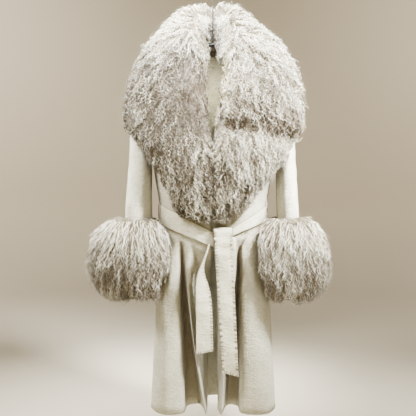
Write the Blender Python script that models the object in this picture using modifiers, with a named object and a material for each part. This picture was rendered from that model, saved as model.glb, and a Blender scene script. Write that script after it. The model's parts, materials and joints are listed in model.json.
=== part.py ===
"""A belted wool wrap coat with a long-haired lamb shearling collar and cuffs, on its hanger.

The coat hangs filled out and nobody wears it. +X is the wearer's left and -Y is the front.
The origin is the inside top of the hanger's hook, where it sits on a rail. Tables are in millimetres.
"""
import math
from collections import namedtuple

import bmesh
import bpy
import numpy as np
from mathutils import Vector
from mathutils.bvhtree import BVHTree

MM = 0.001

# Driving dimensions, in millimetres
CLOTH = 2.5             # double-faced wool
SEAM_GAP = 0.2          # each side of a seam
ARMHOLE_GAP = 0.7       # from the armhole's edge to the sleeve
LAY = 0.3               # between a piece and what it lies on
BELT_CLEAR = 0.4
BELT_THICK = 4.0        # two layers of cloth, stitched
BELT_CHAMFER = 1.0      # how far its outer face is drawn in from the long edges
BINDING_THICK = 1.5
BINDING_HIGH = 9.0
BINDING_LAY = 1.0       # from the back's inside to the binding
HEM_Z = -1366
NECK_WIDTH = 73         # half of the back neck
WAIST_FULLNESS = 2.4    # exponent of the rounded plan outline

# Each point is (x, y) on a front's plan curve, from the side seam to the front edge.
Fold = namedtuple("Fold", "z_side z_edge side flank roll inner valley_out valley_in crest edge")
FRONT_RIGHT_SKIRT = (
    Fold(-1366, -1366, (-196, 5), (-192, -55), (-150, -113), (-90, -101),
         (-80, -32), (-42, -18), (-22, -115), (-16, 56)),
    Fold(-1175, -1175, (-186, 4), (-183, -52), (-145, -108), (-96, -98),
         (-88, -38), (-66, -32), (-55, -112), (-16, 48)),
    Fold(-1020, -1020, (-178, 3), (-175, -48), (-140, -103), (-103, -99),
         (-96, -48), (-84, -46), (-73, -109), (-12, 22)),
    Fold(-925, -935, (-173, 2), (-170, -45), (-138, -96), (-106, -100),
         (-99, -66), (-92, -66), (-84, -105), (-6, -30)),
    Fold(-820, -895, (-169, 0), (-166, -40), (-138, -81), (-107, -96),
         (-100, -90), (-94, -91), (-86, -102), (-4, -95)),
)
FRONT_LEFT_SKIRT = (
    Fold(-1366, -1366, (196, 5), (192, -55), (155, -112), (84, -104),
         (76, -34), (46, -24), (24, -113), (13, -62)),
    Fold(-1175, -1175, (186, 4), (183, -52), (147, -107), (84, -101),
         (77, -38), (50, -34), (32, -111), (14, -66)),
    Fold(-1020, -1020, (179, 3), (176, -48), (142, -102), (86, -101),
         (79, -50), (66, -48), (53, -109), (13, -72)),
    Fold(-925, -935, (175, 2), (171, -45), (139, -96), (87, -102),
         (81, -70), (74, -70), (66, -107), (8, -88)),
    Fold(-820, -895, (171, 0), (167, -40), (139, -81), (90, -101),
         (83, -93), (77, -94), (70, -105), (4, -103)),
)

# The fronts above the skirt: a rounded quarter outline from the side to the front edge.
Front = namedtuple("Front", "z_side z_edge side_x side_y edge_x edge_y")
BELT_ROWS = (
    Front(-801, -874, 169, 0, 3, -112),
    Front(-726, -806, 169, 0, 3, -112),
)
FRONT_BODICE = (
    Front(-640, -680, 187, 0, 12, -112),
    Front(-550, -560, 196, 0, 26, -108),
    Front(-465, -470, 198, 0, 38, -103),
    Front(-430, -430, 188, -38, 44, -99),
    Front(-385, -380, 180, -52, 52, -92),
    Front(-340, -325, 186, -46, 60, -76),
    Front(-308, -272, 200, -28, 70, -45),
    Front(-294.5, -243, 207, -12, 75, -18),
    Front(-292, -238, 208, 0, 75, 0),
)
ARMHOLE_START = 2       # the bodice row at the underarm
SPAN_STEPS = 3          # columns of points between two control points of a front
BELT_SHARES = (1, 0.976, 0.813, 0.633, 0.584, 0.542, 0.488, 0)
BODICE_SHARES = (1, 0.97, 0.86, 0.70, 0.55, 0.40, 0.20, 0)

# The back: its side, the point below the end of the neck, and the centre.
Back = namedtuple("Back", "z_side z_neck z_centre side_x side_y neck_y centre_y")
BACK_SKIRT = (
    Back(-1366, -1366, -1366, 196, 5, 76, 78),
    Back(-1175, -1175, -1175, 186, 4, 79, 81),
    Back(-1020, -1020, -1020, 178, 3, 82, 84),
    Back(-925, -925, -925, 174, 2, 85, 87),
    Back(-820, -820, -820, 170, 0, 87, 89),
)
BACK_BODICE = (
    Back(-801, -801, -801, 170, 0, 87, 89),
    Back(-726, -726, -726, 170, 0, 87, 89),
    Back(-640, -640, -640, 187, 0, 92, 94),
    Back(-550, -550, -550, 196, 0, 94, 96),
    Back(-465, -465, -465, 198, 0, 94, 96),
    Back(-430, -430, -430, 188, 38, 93, 95),
    Back(-385, -385, -385, 180, 52, 90, 92),
    Back(-340, -325, -330, 186, 46, 78, 84),
    Back(-308, -272, -286, 200, 28, 40, 64),
    Back(-294.5, -243, -263, 207, 12, 13, 50),
    Back(-292, -238, -253, 208, 0, 0, 45),
)
BACK_SHARES = (1, 0.985, 0.94, 0.86, 0.75, 0.62, 0.5, 0.365, 0.25, 0.12, 0)
Flute = namedtuple("Flute", "x width depth")
BACK_FLUTES = (Flute(-112, 30, 22), Flute(-28, 26, 17), Flute(52, 30, 24), Flute(128, 22, 15))

# Sleeves: the ring at the elbow and the ring at the wrist, as centre and half sizes.
Sleeve = namedtuple("Sleeve", "side name elbow_x elbow_y elbow_a elbow_b wrist_x wrist_y wrist_a wrist_b")
SLEEVES = (
    Sleeve(-1, "sleeve_right", 231, -6, 32, 78, 232, -45, 44, 60),
    Sleeve(1, "sleeve_left", 229, -6, 30, 78, 233, -45, 34, 66),
)
ELBOW_Z = -545
WRIST_Z = -800

# The belt stretches: height of the middle, and half of the height that shows.
Belt = namedtuple("Belt", "mid half")
BELT_SIDE_RIGHT = Belt(-763, 31)
BELT_KNOT_RIGHT = Belt(-842, 22)
BELT_SIDE_LEFT = Belt(-761, 23)
BELT_KNOT_LEFT = Belt(-819, 11)
BELT_BACK = Belt(-761, 27)
KNOT_RIGHT_X = 1.6      # where the right stretch passes behind the front tail
KNOT_LEFT_X = 56        # where the left stretch enters the knot

# A tail's sections: middle, half width, and the turn of its width away from the front plane.
Tail = namedtuple("Tail", "x y z half turn")
TAIL_FRONT = (
    Tail(28, -117, -826, 26, 0),
    Tail(28, -117.5, -812, 26, 0),
    Tail(28, -124.5, -805.5, 26.5, 0),
    Tail(28.3, -132, -811, 26.5, 0),
    Tail(29, -134.5, -830, 26.5, 0),
    Tail(32, -135.5, -900, 26, -3),
    Tail(37, -136.5, -985, 25.5, -6),
    Tail(42, -137, -1080, 25, 4),
    Tail(47, -137, -1170, 24.5, -4),
    Tail(50, -136, -1239, 24.5, 0),
)
TAIL_UNDER = (
    Tail(-13, -141, -853, 24, 88),
    Tail(-18, -141, -873, 24, 87),
    Tail(-26, -141, -896, 24, 85),
    Tail(-34, -139, -922, 24.5, 78),
    Tail(-37, -137, -948, 25, 64),
    Tail(-34, -135, -974, 25, 44),
    Tail(-29, -133, -1010, 25, 26),
    Tail(-27, -132, -1060, 25, 14),
    Tail(-26, -131, -1120, 25, 6),
    Tail(-26, -130, -1176, 25.5, 0),
)
TAIL_FRONT_SLANT = -13  # the right corner hangs lower
TAIL_UNDER_SLANT = 9    # the right corner hangs higher

# The knot behind the front tail: the bundled cloth in sections across the coat.
Knot = namedtuple("Knot", "x y z deep high")
KNOT = (
    Knot(6, -123.5, -848, 4, 12),
    Knot(16, -125, -850, 6.6, 19),
    Knot(34, -125.6, -852, 6.9, 22),
    Knot(52, -125.6, -853, 6.9, 23),
    Knot(62, -124.5, -853, 5.5, 22),
    Knot(67, -123, -852, 3.5, 17),
)
KNOT_SIDES = 10

# Belt carriers: loops of thread at the sides. Each point is its height and its lift off the cloth.
CARRIER_PATH = ((-722, 2.2), (-725, 5), (-731, 6.8), (-763, 7), (-794, 6.8), (-799, 4.6), (-800, 1.6))
CARRIER_X = 163
CARRIER_RADIUS = 0.8

# Collar sections: inner edge, outer edge, height of the pile over the line between them, the
# share of that line where the pile is highest, and how far the pile is lifted upwards.
Fur = namedtuple("Fur", "inner outer height crown rise")
COLLAR_RIGHT = (
    Fur((1, 24, -235), (1, 126, -392), 176, 0.34, 4.0),
    Fur((7, 20, -235), (80, 142, -408), 206, 0.34, 4.0),
    Fur((12, 8, -228), (166, 124, -414), 226, 0.46, 3.6),
    Fur((13, -10, -236), (226, 76, -425), 200, 0.50, 2.4),
    Fur((15, -32, -255), (260, 22, -436), 150, 0.52, 1.3),
    Fur((18, -62, -315), (262, -32, -494), 96, 0.54, 0.45),
    Fur((18, -92, -395), (230, -76, -550), 76, 0.52, 0.1),
    Fur((16, -110, -476), (192, -104, -610), 68, 0.46, 0),
    Fur((4, -124, -556), (154, -116, -666), 62, 0.42, 0),
    Fur((1, -128, -650), (128, -120, -716), 50, 0.42, 0),
    Fur((1, -125, -736), (106, -122, -762), 36, 0.45, 0),
    Fur((1, -122, -786), (46, -121, -781), 18, 0.5, 0),
)
COLLAR_LEFT = (
    Fur((1, 24, -235), (1, 126, -392), 176, 0.34, 4.0),
    Fur((7, 20, -235), (76, 142, -408), 214, 0.34, 4.0),
    Fur((15, 8, -228), (158, 124, -414), 224, 0.44, 3.4),
    Fur((19, -10, -236), (218, 76, -425), 194, 0.48, 2.2),
    Fur((25, -32, -255), (266, 22, -428), 156, 0.52, 1.2),
    Fur((27, -62, -315), (276, -32, -472), 108, 0.56, 0.45),
    Fur((20, -92, -402), (264, -70, -528), 84, 0.55, 0.1),
    Fur((10, -112, -488), (238, -94, -556), 46, 0.50, 0),
    Fur((3, -122, -532), (226, -98, -590), 64, 0.44, 0),
    Fur((1, -127, -620), (174, -112, -650), 62, 0.42, 0),
    Fur((1, -127, -700), (128, -119, -704), 50, 0.42, 0),
    Fur((1, -125, -746), (92, -121, -754), 32, 0.45, 0),
    Fur((1, -122, -786), (46, -121, -781), 18, 0.5, 0),
)
COLLAR_HALF_GAP = 0.4   # from the middle of the coat to each half of the collar
COLLAR_CLEAR = 0.8      # from its underside to the coat
COLLAR_POINTS = 11      # over the pile, from the inner edge to the outer edge
COLLAR_FULLNESS = 0.7   # exponent of the pile's height over a half round
FUR_LEAST = 14          # the collar is never thinner than this between its edges
FREE_DEPTH = 4          # how far its underside hangs below the line where it lies on nothing
SEAT_REACH = 14         # between the nearby readings that seat it
SEAT_FAR = 120          # how far outside the coat a reading starts
LIFT_STEP = 1.0         # how far its underside is raised at a time where it touches the coat
LIFT_TURNS = 60         # at most

# Cuffs: the reach of the fur from the sleeve's axis, each way.
Cuff = namedtuple("Cuff", "side name axis_x axis_y hole_a hole_b outward inward front back top bottom")
CUFFS = (
    Cuff(-1, "cuff_right", 232, -45.4, 44.6, 60.8, 163, 176, 128, 113, -764, -1030),
    Cuff(1, "cuff_left", 233, -45.4, 34.6, 66.8, 137, 166, 126, 113, -762, -1034),
)
CUFF_TURNS = 24
CUFF_LEVELS = 9
CUFF_SWELL = 0.8        # exponent of the pile's reach over a half round
CUFF_SAG = 0.16         # how much of the pile lies lower than in an even round
CUFF_START = 0.12       # angle of the first and the last level of the pile
CUFF_CLEAR = 4.0        # from the pile to the coat beside it
CUFF_LEAST = 2          # least thickness of the pile, where it is pressed in
LEDGE = 0.6             # from the sleeve's end down to the cuff's inner ledge

HOOK_RADIUS = 22        # of the hook's inside
WIRE_RADIUS = 2
ARM_RADIUS = 5
ARM_CLEAR = 0.6         # from the arms to the cloth on them, above LAY
ARM_SHORT = 18          # from an arm's end to the end of the shoulder seam
ARM_BEND_X = 25         # where the arms turn flat under the neck
ARM_CROWN = 4           # how far their middle stands above that bend

CREAM = (0.80, 0.76, 0.66, 1)
CREAM_BELT = (0.83, 0.80, 0.70, 1)
FUR_WHITE = (0.86, 0.84, 0.79, 1)
STEEL = (0.35, 0.35, 0.35, 1)


def material(name, color, roughness, metallic=0.0):
    made = bpy.data.materials.new(name)
    made.use_nodes = True
    shader = made.node_tree.nodes["Principled BSDF"]
    shader.inputs["Base Color"].default_value = color
    shader.inputs["Roughness"].default_value = roughness
    shader.inputs["Metallic"].default_value = metallic
    return made


def flow(points, steps):
    """A smooth curve through points, along their first axis, with steps samples in each span."""
    points = np.asarray(points, float)
    spans = np.diff(points, axis=0)
    lengths = np.sqrt(np.linalg.norm(spans.reshape(len(spans), -1), axis=1))
    slopes = [spans[0] / lengths[0]]
    for index in range(1, len(spans)):
        before, after = lengths[index - 1], lengths[index]
        mixed = spans[index - 1] / before * after + spans[index] / after * before
        slopes.append(mixed / (before + after))
    slopes.append(spans[-1] / lengths[-1])
    made = []
    for index, length in enumerate(lengths):
        for step in range(steps):
            t = step / steps
            place = points[index] + spans[index] * (3 * t ** 2 - 2 * t ** 3)
            turn = slopes[index] * (t ** 3 - 2 * t ** 2 + t) + slopes[index + 1] * (t ** 3 - t ** 2)
            made.append(place + turn * length)
    made.append(points[-1])
    return np.array(made)


def rounded(share, exponent):
    """Height of a rounded quarter outline, 1 at share 0 and 0 at share 1."""
    return (1 - min(share, 1) ** exponent) ** (1 / exponent)


def skirt_row(fold):
    """Control points of one skirt row of a front; its height runs straight from side to edge."""
    points = fold[2:]
    span = fold.edge[0] - fold.side[0]
    return [(x, y, fold.z_side + (fold.z_edge - fold.z_side) * (x - fold.side[0]) / span) for x, y in points]


def bodice_row(row, side, shares):
    """One upper row of a front, on the rounded outline, with as many points as a skirt row."""
    knots = np.arange(len(shares))
    points = []
    for share in np.interp(np.linspace(0, knots[-1], knots[-1] * SPAN_STEPS + 1), knots, shares):
        x = row.edge_x + (row.side_x - row.edge_x) * share
        y = row.side_y + (row.edge_y - row.side_y) * rounded(share, WAIST_FULLNESS)
        z = row.z_edge + (row.z_side - row.z_edge) * share
        points.append((side * x, y, z))
    return np.array(points)


def front_grid(skirt, side):
    """Rows of points from the hem to the shoulder seam, side seam first in each row."""
    belt = [bodice_row(row, side, BELT_SHARES) for row in BELT_ROWS]
    lower = [flow(skirt_row(fold), SPAN_STEPS) for fold in skirt] + belt[:1]
    upper = [bodice_row(row, side, BODICE_SHARES) for row in FRONT_BODICE]
    rows = list(flow(lower, 2)) + belt[1:] + upper[:ARMHOLE_START] + list(flow(upper[ARMHOLE_START:], 2))
    grid = np.array(rows)
    below = len(grid) - 2 * (len(upper) - 1 - ARMHOLE_START)
    grid[:below, 1, 0] = grid[:below, 0, 0]
    flat_shoulder(grid)
    grid[:, 0, 1] -= SEAM_GAP
    grid[-1, :, 1] -= SEAM_GAP
    return grid * MM


def flat_shoulder(grid):
    """The row before the shoulder seam, brought level with the seam, so that the two panels meet squarely."""
    past = (np.abs(grid[-2, :, 0]) - NECK_WIDTH) / (FRONT_BODICE[-1].side_x - NECK_WIDTH)
    level = FRONT_BODICE[-1].z_edge + (FRONT_BODICE[-1].z_side - FRONT_BODICE[-1].z_edge) * past
    grid[-2, past >= 0, 2] = level[past >= 0]


def back_row(row):
    """Points across the back in one row, from the wearer's left side seam to the right one."""
    half = []
    for share in BACK_SHARES:
        x = row.side_x * share
        if x > NECK_WIDTH:
            past = (x - NECK_WIDTH) / (row.side_x - NECK_WIDTH)
            y = row.side_y + (row.neck_y - row.side_y) * rounded(past, WAIST_FULLNESS)
            z = row.z_neck + (row.z_side - row.z_neck) * past
        else:
            arch = math.sqrt(1 - (x / NECK_WIDTH) ** 2)
            y = row.neck_y + (row.centre_y - row.neck_y) * arch
            z = row.z_centre + (row.z_neck - row.z_centre) * (x / NECK_WIDTH) ** 2
        half.append((x, y, z))
    return half + [(-x, y, z) for x, y, z in reversed(half[:-1])]


def back_grid():
    """Rows of the back from the hem up, with soft flutes that fade out at the belt."""
    lower = [back_row(row) for row in BACK_SKIRT + BACK_BODICE[:1]]
    upper = [back_row(row) for row in BACK_BODICE[1:]]
    head = 1 + ARMHOLE_START
    rows = list(flow(lower, 2)) + upper[:head] + list(flow(upper[head:], 2))
    grid = np.array(rows)
    below = len(grid) - 2 * (len(upper) - 1 - head)
    grid[:below, 1, 0] = grid[:below, 0, 0]
    grid[:below, -2, 0] = grid[:below, -1, 0]
    flat_shoulder(grid)
    fall = np.clip((BELT_ROWS[0].z_side - grid[..., 2]) / (BELT_ROWS[0].z_side - HEM_Z), 0, 1)
    for flute in BACK_FLUTES:
        grid[..., 1] -= flute.depth * fall * np.exp(-((grid[..., 0] - flute.x) / flute.width) ** 2)
    grid[:, [0, -1], 1] += SEAM_GAP
    grid[-1, :, 1] += SEAM_GAP
    return grid * MM


def faced(rows, closed=False):
    """Faces of a grid of rows by columns."""
    count, width = rows.shape[:2]
    faces = []
    for row in range(count - 1):
        for col in range(width if closed else width - 1):
            right = (col + 1) % width
            faces.append((row * width + col, row * width + right, (row + 1) * width + right, (row + 1) * width + col))
    return faces


def add(name, points, faces, finish):
    mesh = bpy.data.meshes.new(name)
    mesh.from_pydata([tuple(point) for point in points], [], faces)
    mesh.materials.append(finish)
    mesh.shade_smooth()
    made = bpy.data.objects.new(name, mesh)
    parts.objects.link(made)
    return made


def shell(name, grid, finish, thickness, closed=False):
    """A wall of cloth: an open sheet whose outer side is the grid, thickened inwards."""
    made = add(name, grid.reshape(-1, 3), faced(grid, closed), finish)
    wall = made.modifiers.new("wall", "SOLIDIFY")
    wall.thickness = thickness * MM
    wall.offset = -1
    return made


def loft(name, sections, finish):
    """A closed solid through closed sections, with flat ends."""
    count, width = sections.shape[:2]
    faces = faced(sections, closed=True)
    faces.append(tuple(reversed(range(width))))
    faces.append(tuple((count - 1) * width + k for k in range(width)))
    made = add(name, sections.reshape(-1, 3), faces, finish)
    turn_out(made)
    return made


def turn_out(made):
    """Face normals of a closed mesh turned outwards."""
    work = bmesh.new()
    work.from_mesh(made.data)
    bmesh.ops.recalc_face_normals(work, faces=work.faces)
    work.to_mesh(made.data)
    work.free()


def tree_of(pieces):
    """A search tree over the finished meshes of pieces."""
    graph = bpy.context.evaluated_depsgraph_get()
    points, faces = [], []
    for piece in pieces:
        mesh = piece.evaluated_get(graph).to_mesh()
        start = len(points)
        points += [piece.matrix_world @ vertex.co for vertex in mesh.vertices]
        faces += [[start + index for index in face.vertices] for face in mesh.polygons]
    return BVHTree.FromPolygons(points, faces)


def tube(name, points, radius, finish, sides=2):
    """A round wire through points, with filled caps."""
    curve = bpy.data.curves.new(name, "CURVE")
    curve.dimensions = "3D"
    curve.bevel_depth = radius * MM
    curve.bevel_resolution = sides
    curve.use_fill_caps = True
    spline = curve.splines.new("POLY")
    spline.points.add(len(points) - 1)
    for knot, (x, y, z) in zip(spline.points, points):
        knot.co = (x * MM, y * MM, z * MM, 1)
    curve.materials.append(finish)
    made = bpy.data.objects.new(name, curve)
    parts.objects.link(made)
    return made


def armhole(front, back, side):
    """The armhole's edge as a ring: up the front from the underarm, over, and down the back."""
    start = len(front) - 1 - 2 * (len(FRONT_BODICE) - 1 - ARMHOLE_START)
    rise = front[start:, 0]
    fall = back[start:, 0 if side > 0 else -1][::-1]
    return np.vstack([rise, fall[1:-1]])


def sleeve(spec, ring):
    """A sleeve lofted from the armhole, over the sleeve head, to the elbow and the wrist."""
    count = len(ring)
    middle = ring.mean(axis=0)
    start = ring + np.array([spec.side * ARMHOLE_GAP * MM, 0, 0])
    turns = np.arctan2(ring[:, 2] - middle[2], -(ring[:, 1] - middle[1]))
    turns = np.unwrap(turns)
    even = turns[0] + np.linspace(0, 1, count, endpoint=False) * 2 * math.pi * np.sign(turns[1] - turns[0])
    height = (ring[:, 2] - ring[:, 2].min()) / np.ptp(ring[:, 2])

    def oval(x, y, a, b, z):
        across = spec.side * (x + a * np.sin(even))
        return np.stack([across, y - b * np.cos(even), np.full(count, float(z))], axis=1) * MM

    elbow = oval(spec.elbow_x, spec.elbow_y, spec.elbow_a, spec.elbow_b, ELBOW_Z)
    wrist = oval(spec.wrist_x, spec.wrist_y, spec.wrist_a, spec.wrist_b, WRIST_Z)
    reach = np.abs(elbow[:, 2] - start[:, 2])
    out = np.stack([spec.side * (0.6 + 0.4 * height), np.zeros(count), -1 + 0.62 * height], axis=1)
    leave = out * (0.75 * reach)[:, None]
    arrive = np.array([0, 0, -1]) * (1.25 * reach)[:, None]
    rings = []
    for t in (0, 0.12, 0.26, 0.42, 0.6, 0.8, 1):
        head = (2 * t ** 3 - 3 * t ** 2 + 1) * start + (t ** 3 - 2 * t ** 2 + t) * leave
        rings.append(head + (3 * t ** 2 - 2 * t ** 3) * elbow + (t ** 3 - t ** 2) * arrive)
    for share in (0.25, 0.5, 0.75, 1):
        rings.append(elbow + (wrist - elbow) * share)
    rings = np.array(rings)
    return rings if spec.side < 0 else rings[:, ::-1]


def belt_strip(name, line, side, knot, finish):
    """A flat strip laid on a line of the cloth's own points, moved out and thickened.

    Its middle and its half height run straight from side to knot, by breadth x.
    """
    line = np.array(line) / MM
    along = np.gradient(line[:, :2], axis=0)
    out = np.stack([along[:, 1], -along[:, 0]], axis=1)
    out /= np.linalg.norm(out, axis=1)[:, None]
    if (out * line[:, :2]).sum() < 0:
        out = -out
    span = line[-1, 0] - line[0, 0]
    sections = []
    for (x, y, _), (nx, ny) in zip(line, out):
        reach = (x - line[0, 0]) / span
        mid = side.mid + (knot.mid - side.mid) * reach
        half = side.half + (knot.half - side.half) * reach
        section = []
        inset = half - BELT_CHAMFER
        for lift, rise in ((BELT_CLEAR, -half), (BELT_CLEAR + BELT_THICK, -inset),
                           (BELT_CLEAR + BELT_THICK, inset), (BELT_CLEAR, half)):
            section.append((x + nx * lift, y + ny * lift, mid + rise))
        sections.append(section)
    return loft(name, np.array(sections) * MM, finish)


def up_to(line, x):
    """The start of a line of points, cut off where it passes breadth x."""
    kept = [point for point in line if abs(point[0]) > abs(x) * MM]
    after = line[len(kept)]
    share = (x * MM - kept[-1][0]) / (after[0] - kept[-1][0])
    return kept + [kept[-1] + (after - kept[-1]) * share]


def tail(name, table, steps, slant, finish):
    """A belt tail: a flat strip with a turning width, ending in a slanted edge."""
    rows = flow([tuple(row) for row in table], steps)
    middles = rows[:, :3]
    along = np.gradient(middles, axis=0)
    along /= np.linalg.norm(along, axis=1)[:, None]
    sections = []
    for index, (x, y, z, half, turn) in enumerate(rows):
        width = np.array([math.cos(math.radians(turn)), math.sin(math.radians(turn)), 0])
        face = np.cross(along[index], width)
        face /= np.linalg.norm(face)
        share = max(0, (index - len(rows) + 1) / (2 * steps) + 1)
        section = []
        for across, deep in ((-1, -1), (1, -1), (1, 1), (-1, 1)):
            point = np.array([x, y, z]) + width * half * across + face * deep * BELT_THICK / 2
            point[2] += slant / 2 * across * share
            section.append(point)
        sections.append(section)
    return loft(name, np.array(sections) * MM, finish)


def collar(name, side, table, under, finish):
    """Half of the shawl collar: a deep pile over the line from inner to outer edge, lying on the coat."""
    rows = flow([row.inner + row.outer + tuple(row[2:]) for row in table], 2)
    inner, outer = rows[:, :3], rows[:, 3:6]
    along = np.gradient((inner + outer) / 2, axis=0)
    mirror = np.array([side, 1, 1])
    sections, squares = [], []
    for index in range(len(rows)):
        height, crown, rise = rows[index, 6:9]
        line = outer[index] - inner[index]
        square = np.cross(along[index], line)
        square /= np.linalg.norm(square)
        lift = square + np.array([0, 0, rise])
        lift /= np.linalg.norm(lift)
        skew = math.log(crown) / math.log(0.5)
        top, floor = [], []
        for angle in np.linspace(0, math.pi, COLLAR_POINTS):
            share = ((1 - math.cos(angle)) / 2) ** skew
            base = inner[index] + line * share
            ground = base + square * seat(base, square, line, along[index], under, mirror)
            peak = base + lift * height * max(math.sin(angle), 0) ** COLLAR_FULLNESS
            short = FUR_LEAST * math.sin(angle) - (peak - ground) @ square
            top.append(peak + square * max(short, 0))
            floor.append(ground)
        top[0], top[-1] = floor[0], floor[-1]
        sections.append(top + floor[-2:0:-1])
        squares.append(square * mirror * MM)
    sections = np.array(sections)
    sections[..., 0] = np.maximum(sections[..., 0], COLLAR_HALF_GAP)
    sections = sections * mirror * MM
    raise_off(sections, np.array(squares), len(top), under)
    return loft(name, sections, finish)


def raise_off(sections, squares, width, under):
    """The underside of lofted sections, raised step by step until no face touches the coat."""
    around = sections.shape[1]
    lower = [0] + list(range(width - 1, around))
    for _ in range(LIFT_TURNS):
        faces = faced(sections, closed=True)
        triangles = [face[:3] for face in faces] + [(face[0], face[2], face[3]) for face in faces]
        own = BVHTree.FromPolygons([Vector(point) for point in sections.reshape(-1, 3)], triangles)
        hit = {index for pair in own.overlap(under) for index in triangles[pair[0]]}
        if not hit:
            break
        for index in hit:
            row, col = divmod(index, around)
            if col in lower:
                sections[row, col] += squares[row] * LIFT_STEP
    for col in lower:
        sections[:, col] += squares * LAY


def seat(base, square, line, along, under, mirror):
    """How far the coat lies above base, or a little below it where there is no coat.

    The highest of nine nearby readings, so that the flat faces between points stay off the coat.
    """
    line = line / np.linalg.norm(line)
    along = along / np.linalg.norm(along)
    depth = -FREE_DEPTH
    for side_step in (-SEAT_REACH, 0, SEAT_REACH):
        for path_step in (-SEAT_REACH, 0, SEAT_REACH):
            start = Vector((base + square * SEAT_FAR + line * side_step + along * path_step) * mirror * MM)
            hit = under.ray_cast(start, Vector(-square * mirror), (SEAT_FAR + 40) * MM)[0]
            if hit is not None:
                depth = max(depth, SEAT_FAR - (hit - start).length / MM + COLLAR_CLEAR)
    return depth


def cuff(spec, body, finish):
    """A ring of long pile round the end of the sleeve, pressed in where it meets the coat."""
    middle = (spec.top + spec.bottom) / 2
    deep = (spec.top - spec.bottom) / 2
    rings = []
    for turn in np.arange(CUFF_TURNS) * 2 * math.pi / CUFF_TURNS:
        across, ahead = math.cos(turn), math.sin(turn)
        reach_x = spec.outward if across > 0 else spec.inward
        reach_y = spec.back if ahead > 0 else spec.front
        hole = np.array([spec.hole_a * across, spec.hole_b * ahead])
        full = np.array([reach_x * across, reach_y * ahead])
        ring = []
        for angle in np.linspace(CUFF_START, math.pi - CUFF_START, CUFF_LEVELS):
            swell = math.sin(angle) ** CUFF_SWELL
            z = middle + deep * math.cos(angle + CUFF_SAG * math.sin(angle))
            offset = hole + (full - hole) * swell
            ring.append(pressed(spec, offset, z, hole, body))
        for share in (0.25, 0.6, 1):
            z = spec.bottom + (WRIST_Z - LEDGE - spec.bottom) * share
            ring.append((spec.side * (spec.axis_x + hole[0]), spec.axis_y + hole[1], z))
        rings.append(ring)
    rings = np.array(rings) * MM
    width = rings.shape[1]
    faces = []
    for row in range(CUFF_TURNS):
        ahead = (row + 1) % CUFF_TURNS
        for col in range(width):
            right = (col + 1) % width
            faces.append((row * width + col, row * width + right, ahead * width + right, ahead * width + col))
    made = add(spec.name, rings.reshape(-1, 3), faces, finish)
    turn_out(made)
    return made


def pressed(spec, offset, z, hole, body):
    """A point of the cuff's outside, held short of the coat beside it."""
    axis = np.array([spec.side * spec.axis_x, spec.axis_y, z])
    way = np.array([spec.side * offset[0], offset[1], 0])
    length = np.linalg.norm(way)
    way /= length
    start = np.array([spec.side * hole[0], hole[1], 0])
    inside = np.linalg.norm(start)
    for side_turn in (-0.14, 0, 0.14):
        turn = np.array([way[0] * math.cos(side_turn) - way[1] * math.sin(side_turn),
                         way[0] * math.sin(side_turn) + way[1] * math.cos(side_turn), 0])
        hit = body.ray_cast(Vector((axis + turn * inside) * MM), Vector(turn), 0.2)[0]
        if hit is not None:
            length = min(length, np.linalg.norm(np.array(hit) / MM - axis) - CUFF_CLEAR)
    length = max(length, inside + CUFF_LEAST)
    return tuple(axis + way * length)


for old in list(bpy.data.objects):
    bpy.data.objects.remove(old, do_unlink=True)
parts = bpy.data.collections.new("shearling_coat")
bpy.context.scene.collection.children.link(parts)

cloth = material("coat_cloth", CREAM, 0.9)
belting = material("belt_cloth", CREAM_BELT, 0.9)
pile = material("lamb_pile", FUR_WHITE, 0.8)
steel = material("hanger_steel", STEEL, 0.35, 1.0)

# Back and fronts
right_grid = front_grid(FRONT_RIGHT_SKIRT, -1)
left_grid = front_grid(FRONT_LEFT_SKIRT, 1)
hind_grid = back_grid()
front_right = shell("front_right", right_grid, cloth, CLOTH)
front_left = shell("front_left", left_grid[:, ::-1], cloth, CLOTH)
back = shell("back", hind_grid, cloth, CLOTH)

# Sleeves
sleeves = []
for spec, grid in zip(SLEEVES, (right_grid, left_grid)):
    rings = sleeve(spec, armhole(grid, hind_grid, spec.side))
    sleeves.append(shell(spec.name, rings, cloth, CLOTH, closed=True))

# Hanger: the arms run just under the shoulder seams
slope = (FRONT_BODICE[-1].z_edge - FRONT_BODICE[-1].z_side) / (FRONT_BODICE[-1].side_x - NECK_WIDTH)
drop = CLOTH + LAY + ARM_RADIUS + ARM_CLEAR
neck_z = FRONT_BODICE[-1].z_edge - drop * math.sqrt(1 + slope ** 2)
tip_x = FRONT_BODICE[-1].side_x - ARM_SHORT
tip_z = neck_z - slope * (tip_x - NECK_WIDTH)
bend_z = neck_z + slope * (NECK_WIDTH - ARM_BEND_X)
arms_path = [(-tip_x, 0, tip_z), (-ARM_BEND_X, 0, bend_z), (0, 0, bend_z + ARM_CROWN),
             (ARM_BEND_X, 0, bend_z), (tip_x, 0, tip_z)]
arms = tube("hanger_arms", arms_path, ARM_RADIUS, steel)
curl = HOOK_RADIUS + WIRE_RADIUS
hook_path = []
for turn in range(-110, 91, 20):
    angle = math.radians(90 - turn)
    hook_path.append((curl * math.cos(angle), 0, -HOOK_RADIUS + curl * math.sin(angle)))
hook_path += [(curl - 4, 0, -HOOK_RADIUS - 14), (8, 0, -HOOK_RADIUS - 28), (0, 0, -HOOK_RADIUS - 44),
              (0, 0, bend_z + ARM_CROWN + ARM_RADIUS + LAY)]
hook = tube("hanger_hook", hook_path, WIRE_RADIUS, steel)

# Neck binding, inside the top of the back
top_row = [point for point in hind_grid[-1] if abs(point[0]) < (NECK_WIDTH - 4) * MM]
near, far = -(CLOTH + BINDING_LAY) * MM, -(CLOTH + BINDING_LAY + BINDING_THICK) * MM
low = -BINDING_HIGH * MM
strip = []
for x, y, z in flow(top_row, 2):
    strip.append([(x, y + near, z), (x, y + far, z), (x, y + far, z + low), (x, y + near, z + low)])
binding = loft("neck_binding", np.array(strip), cloth)

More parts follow.
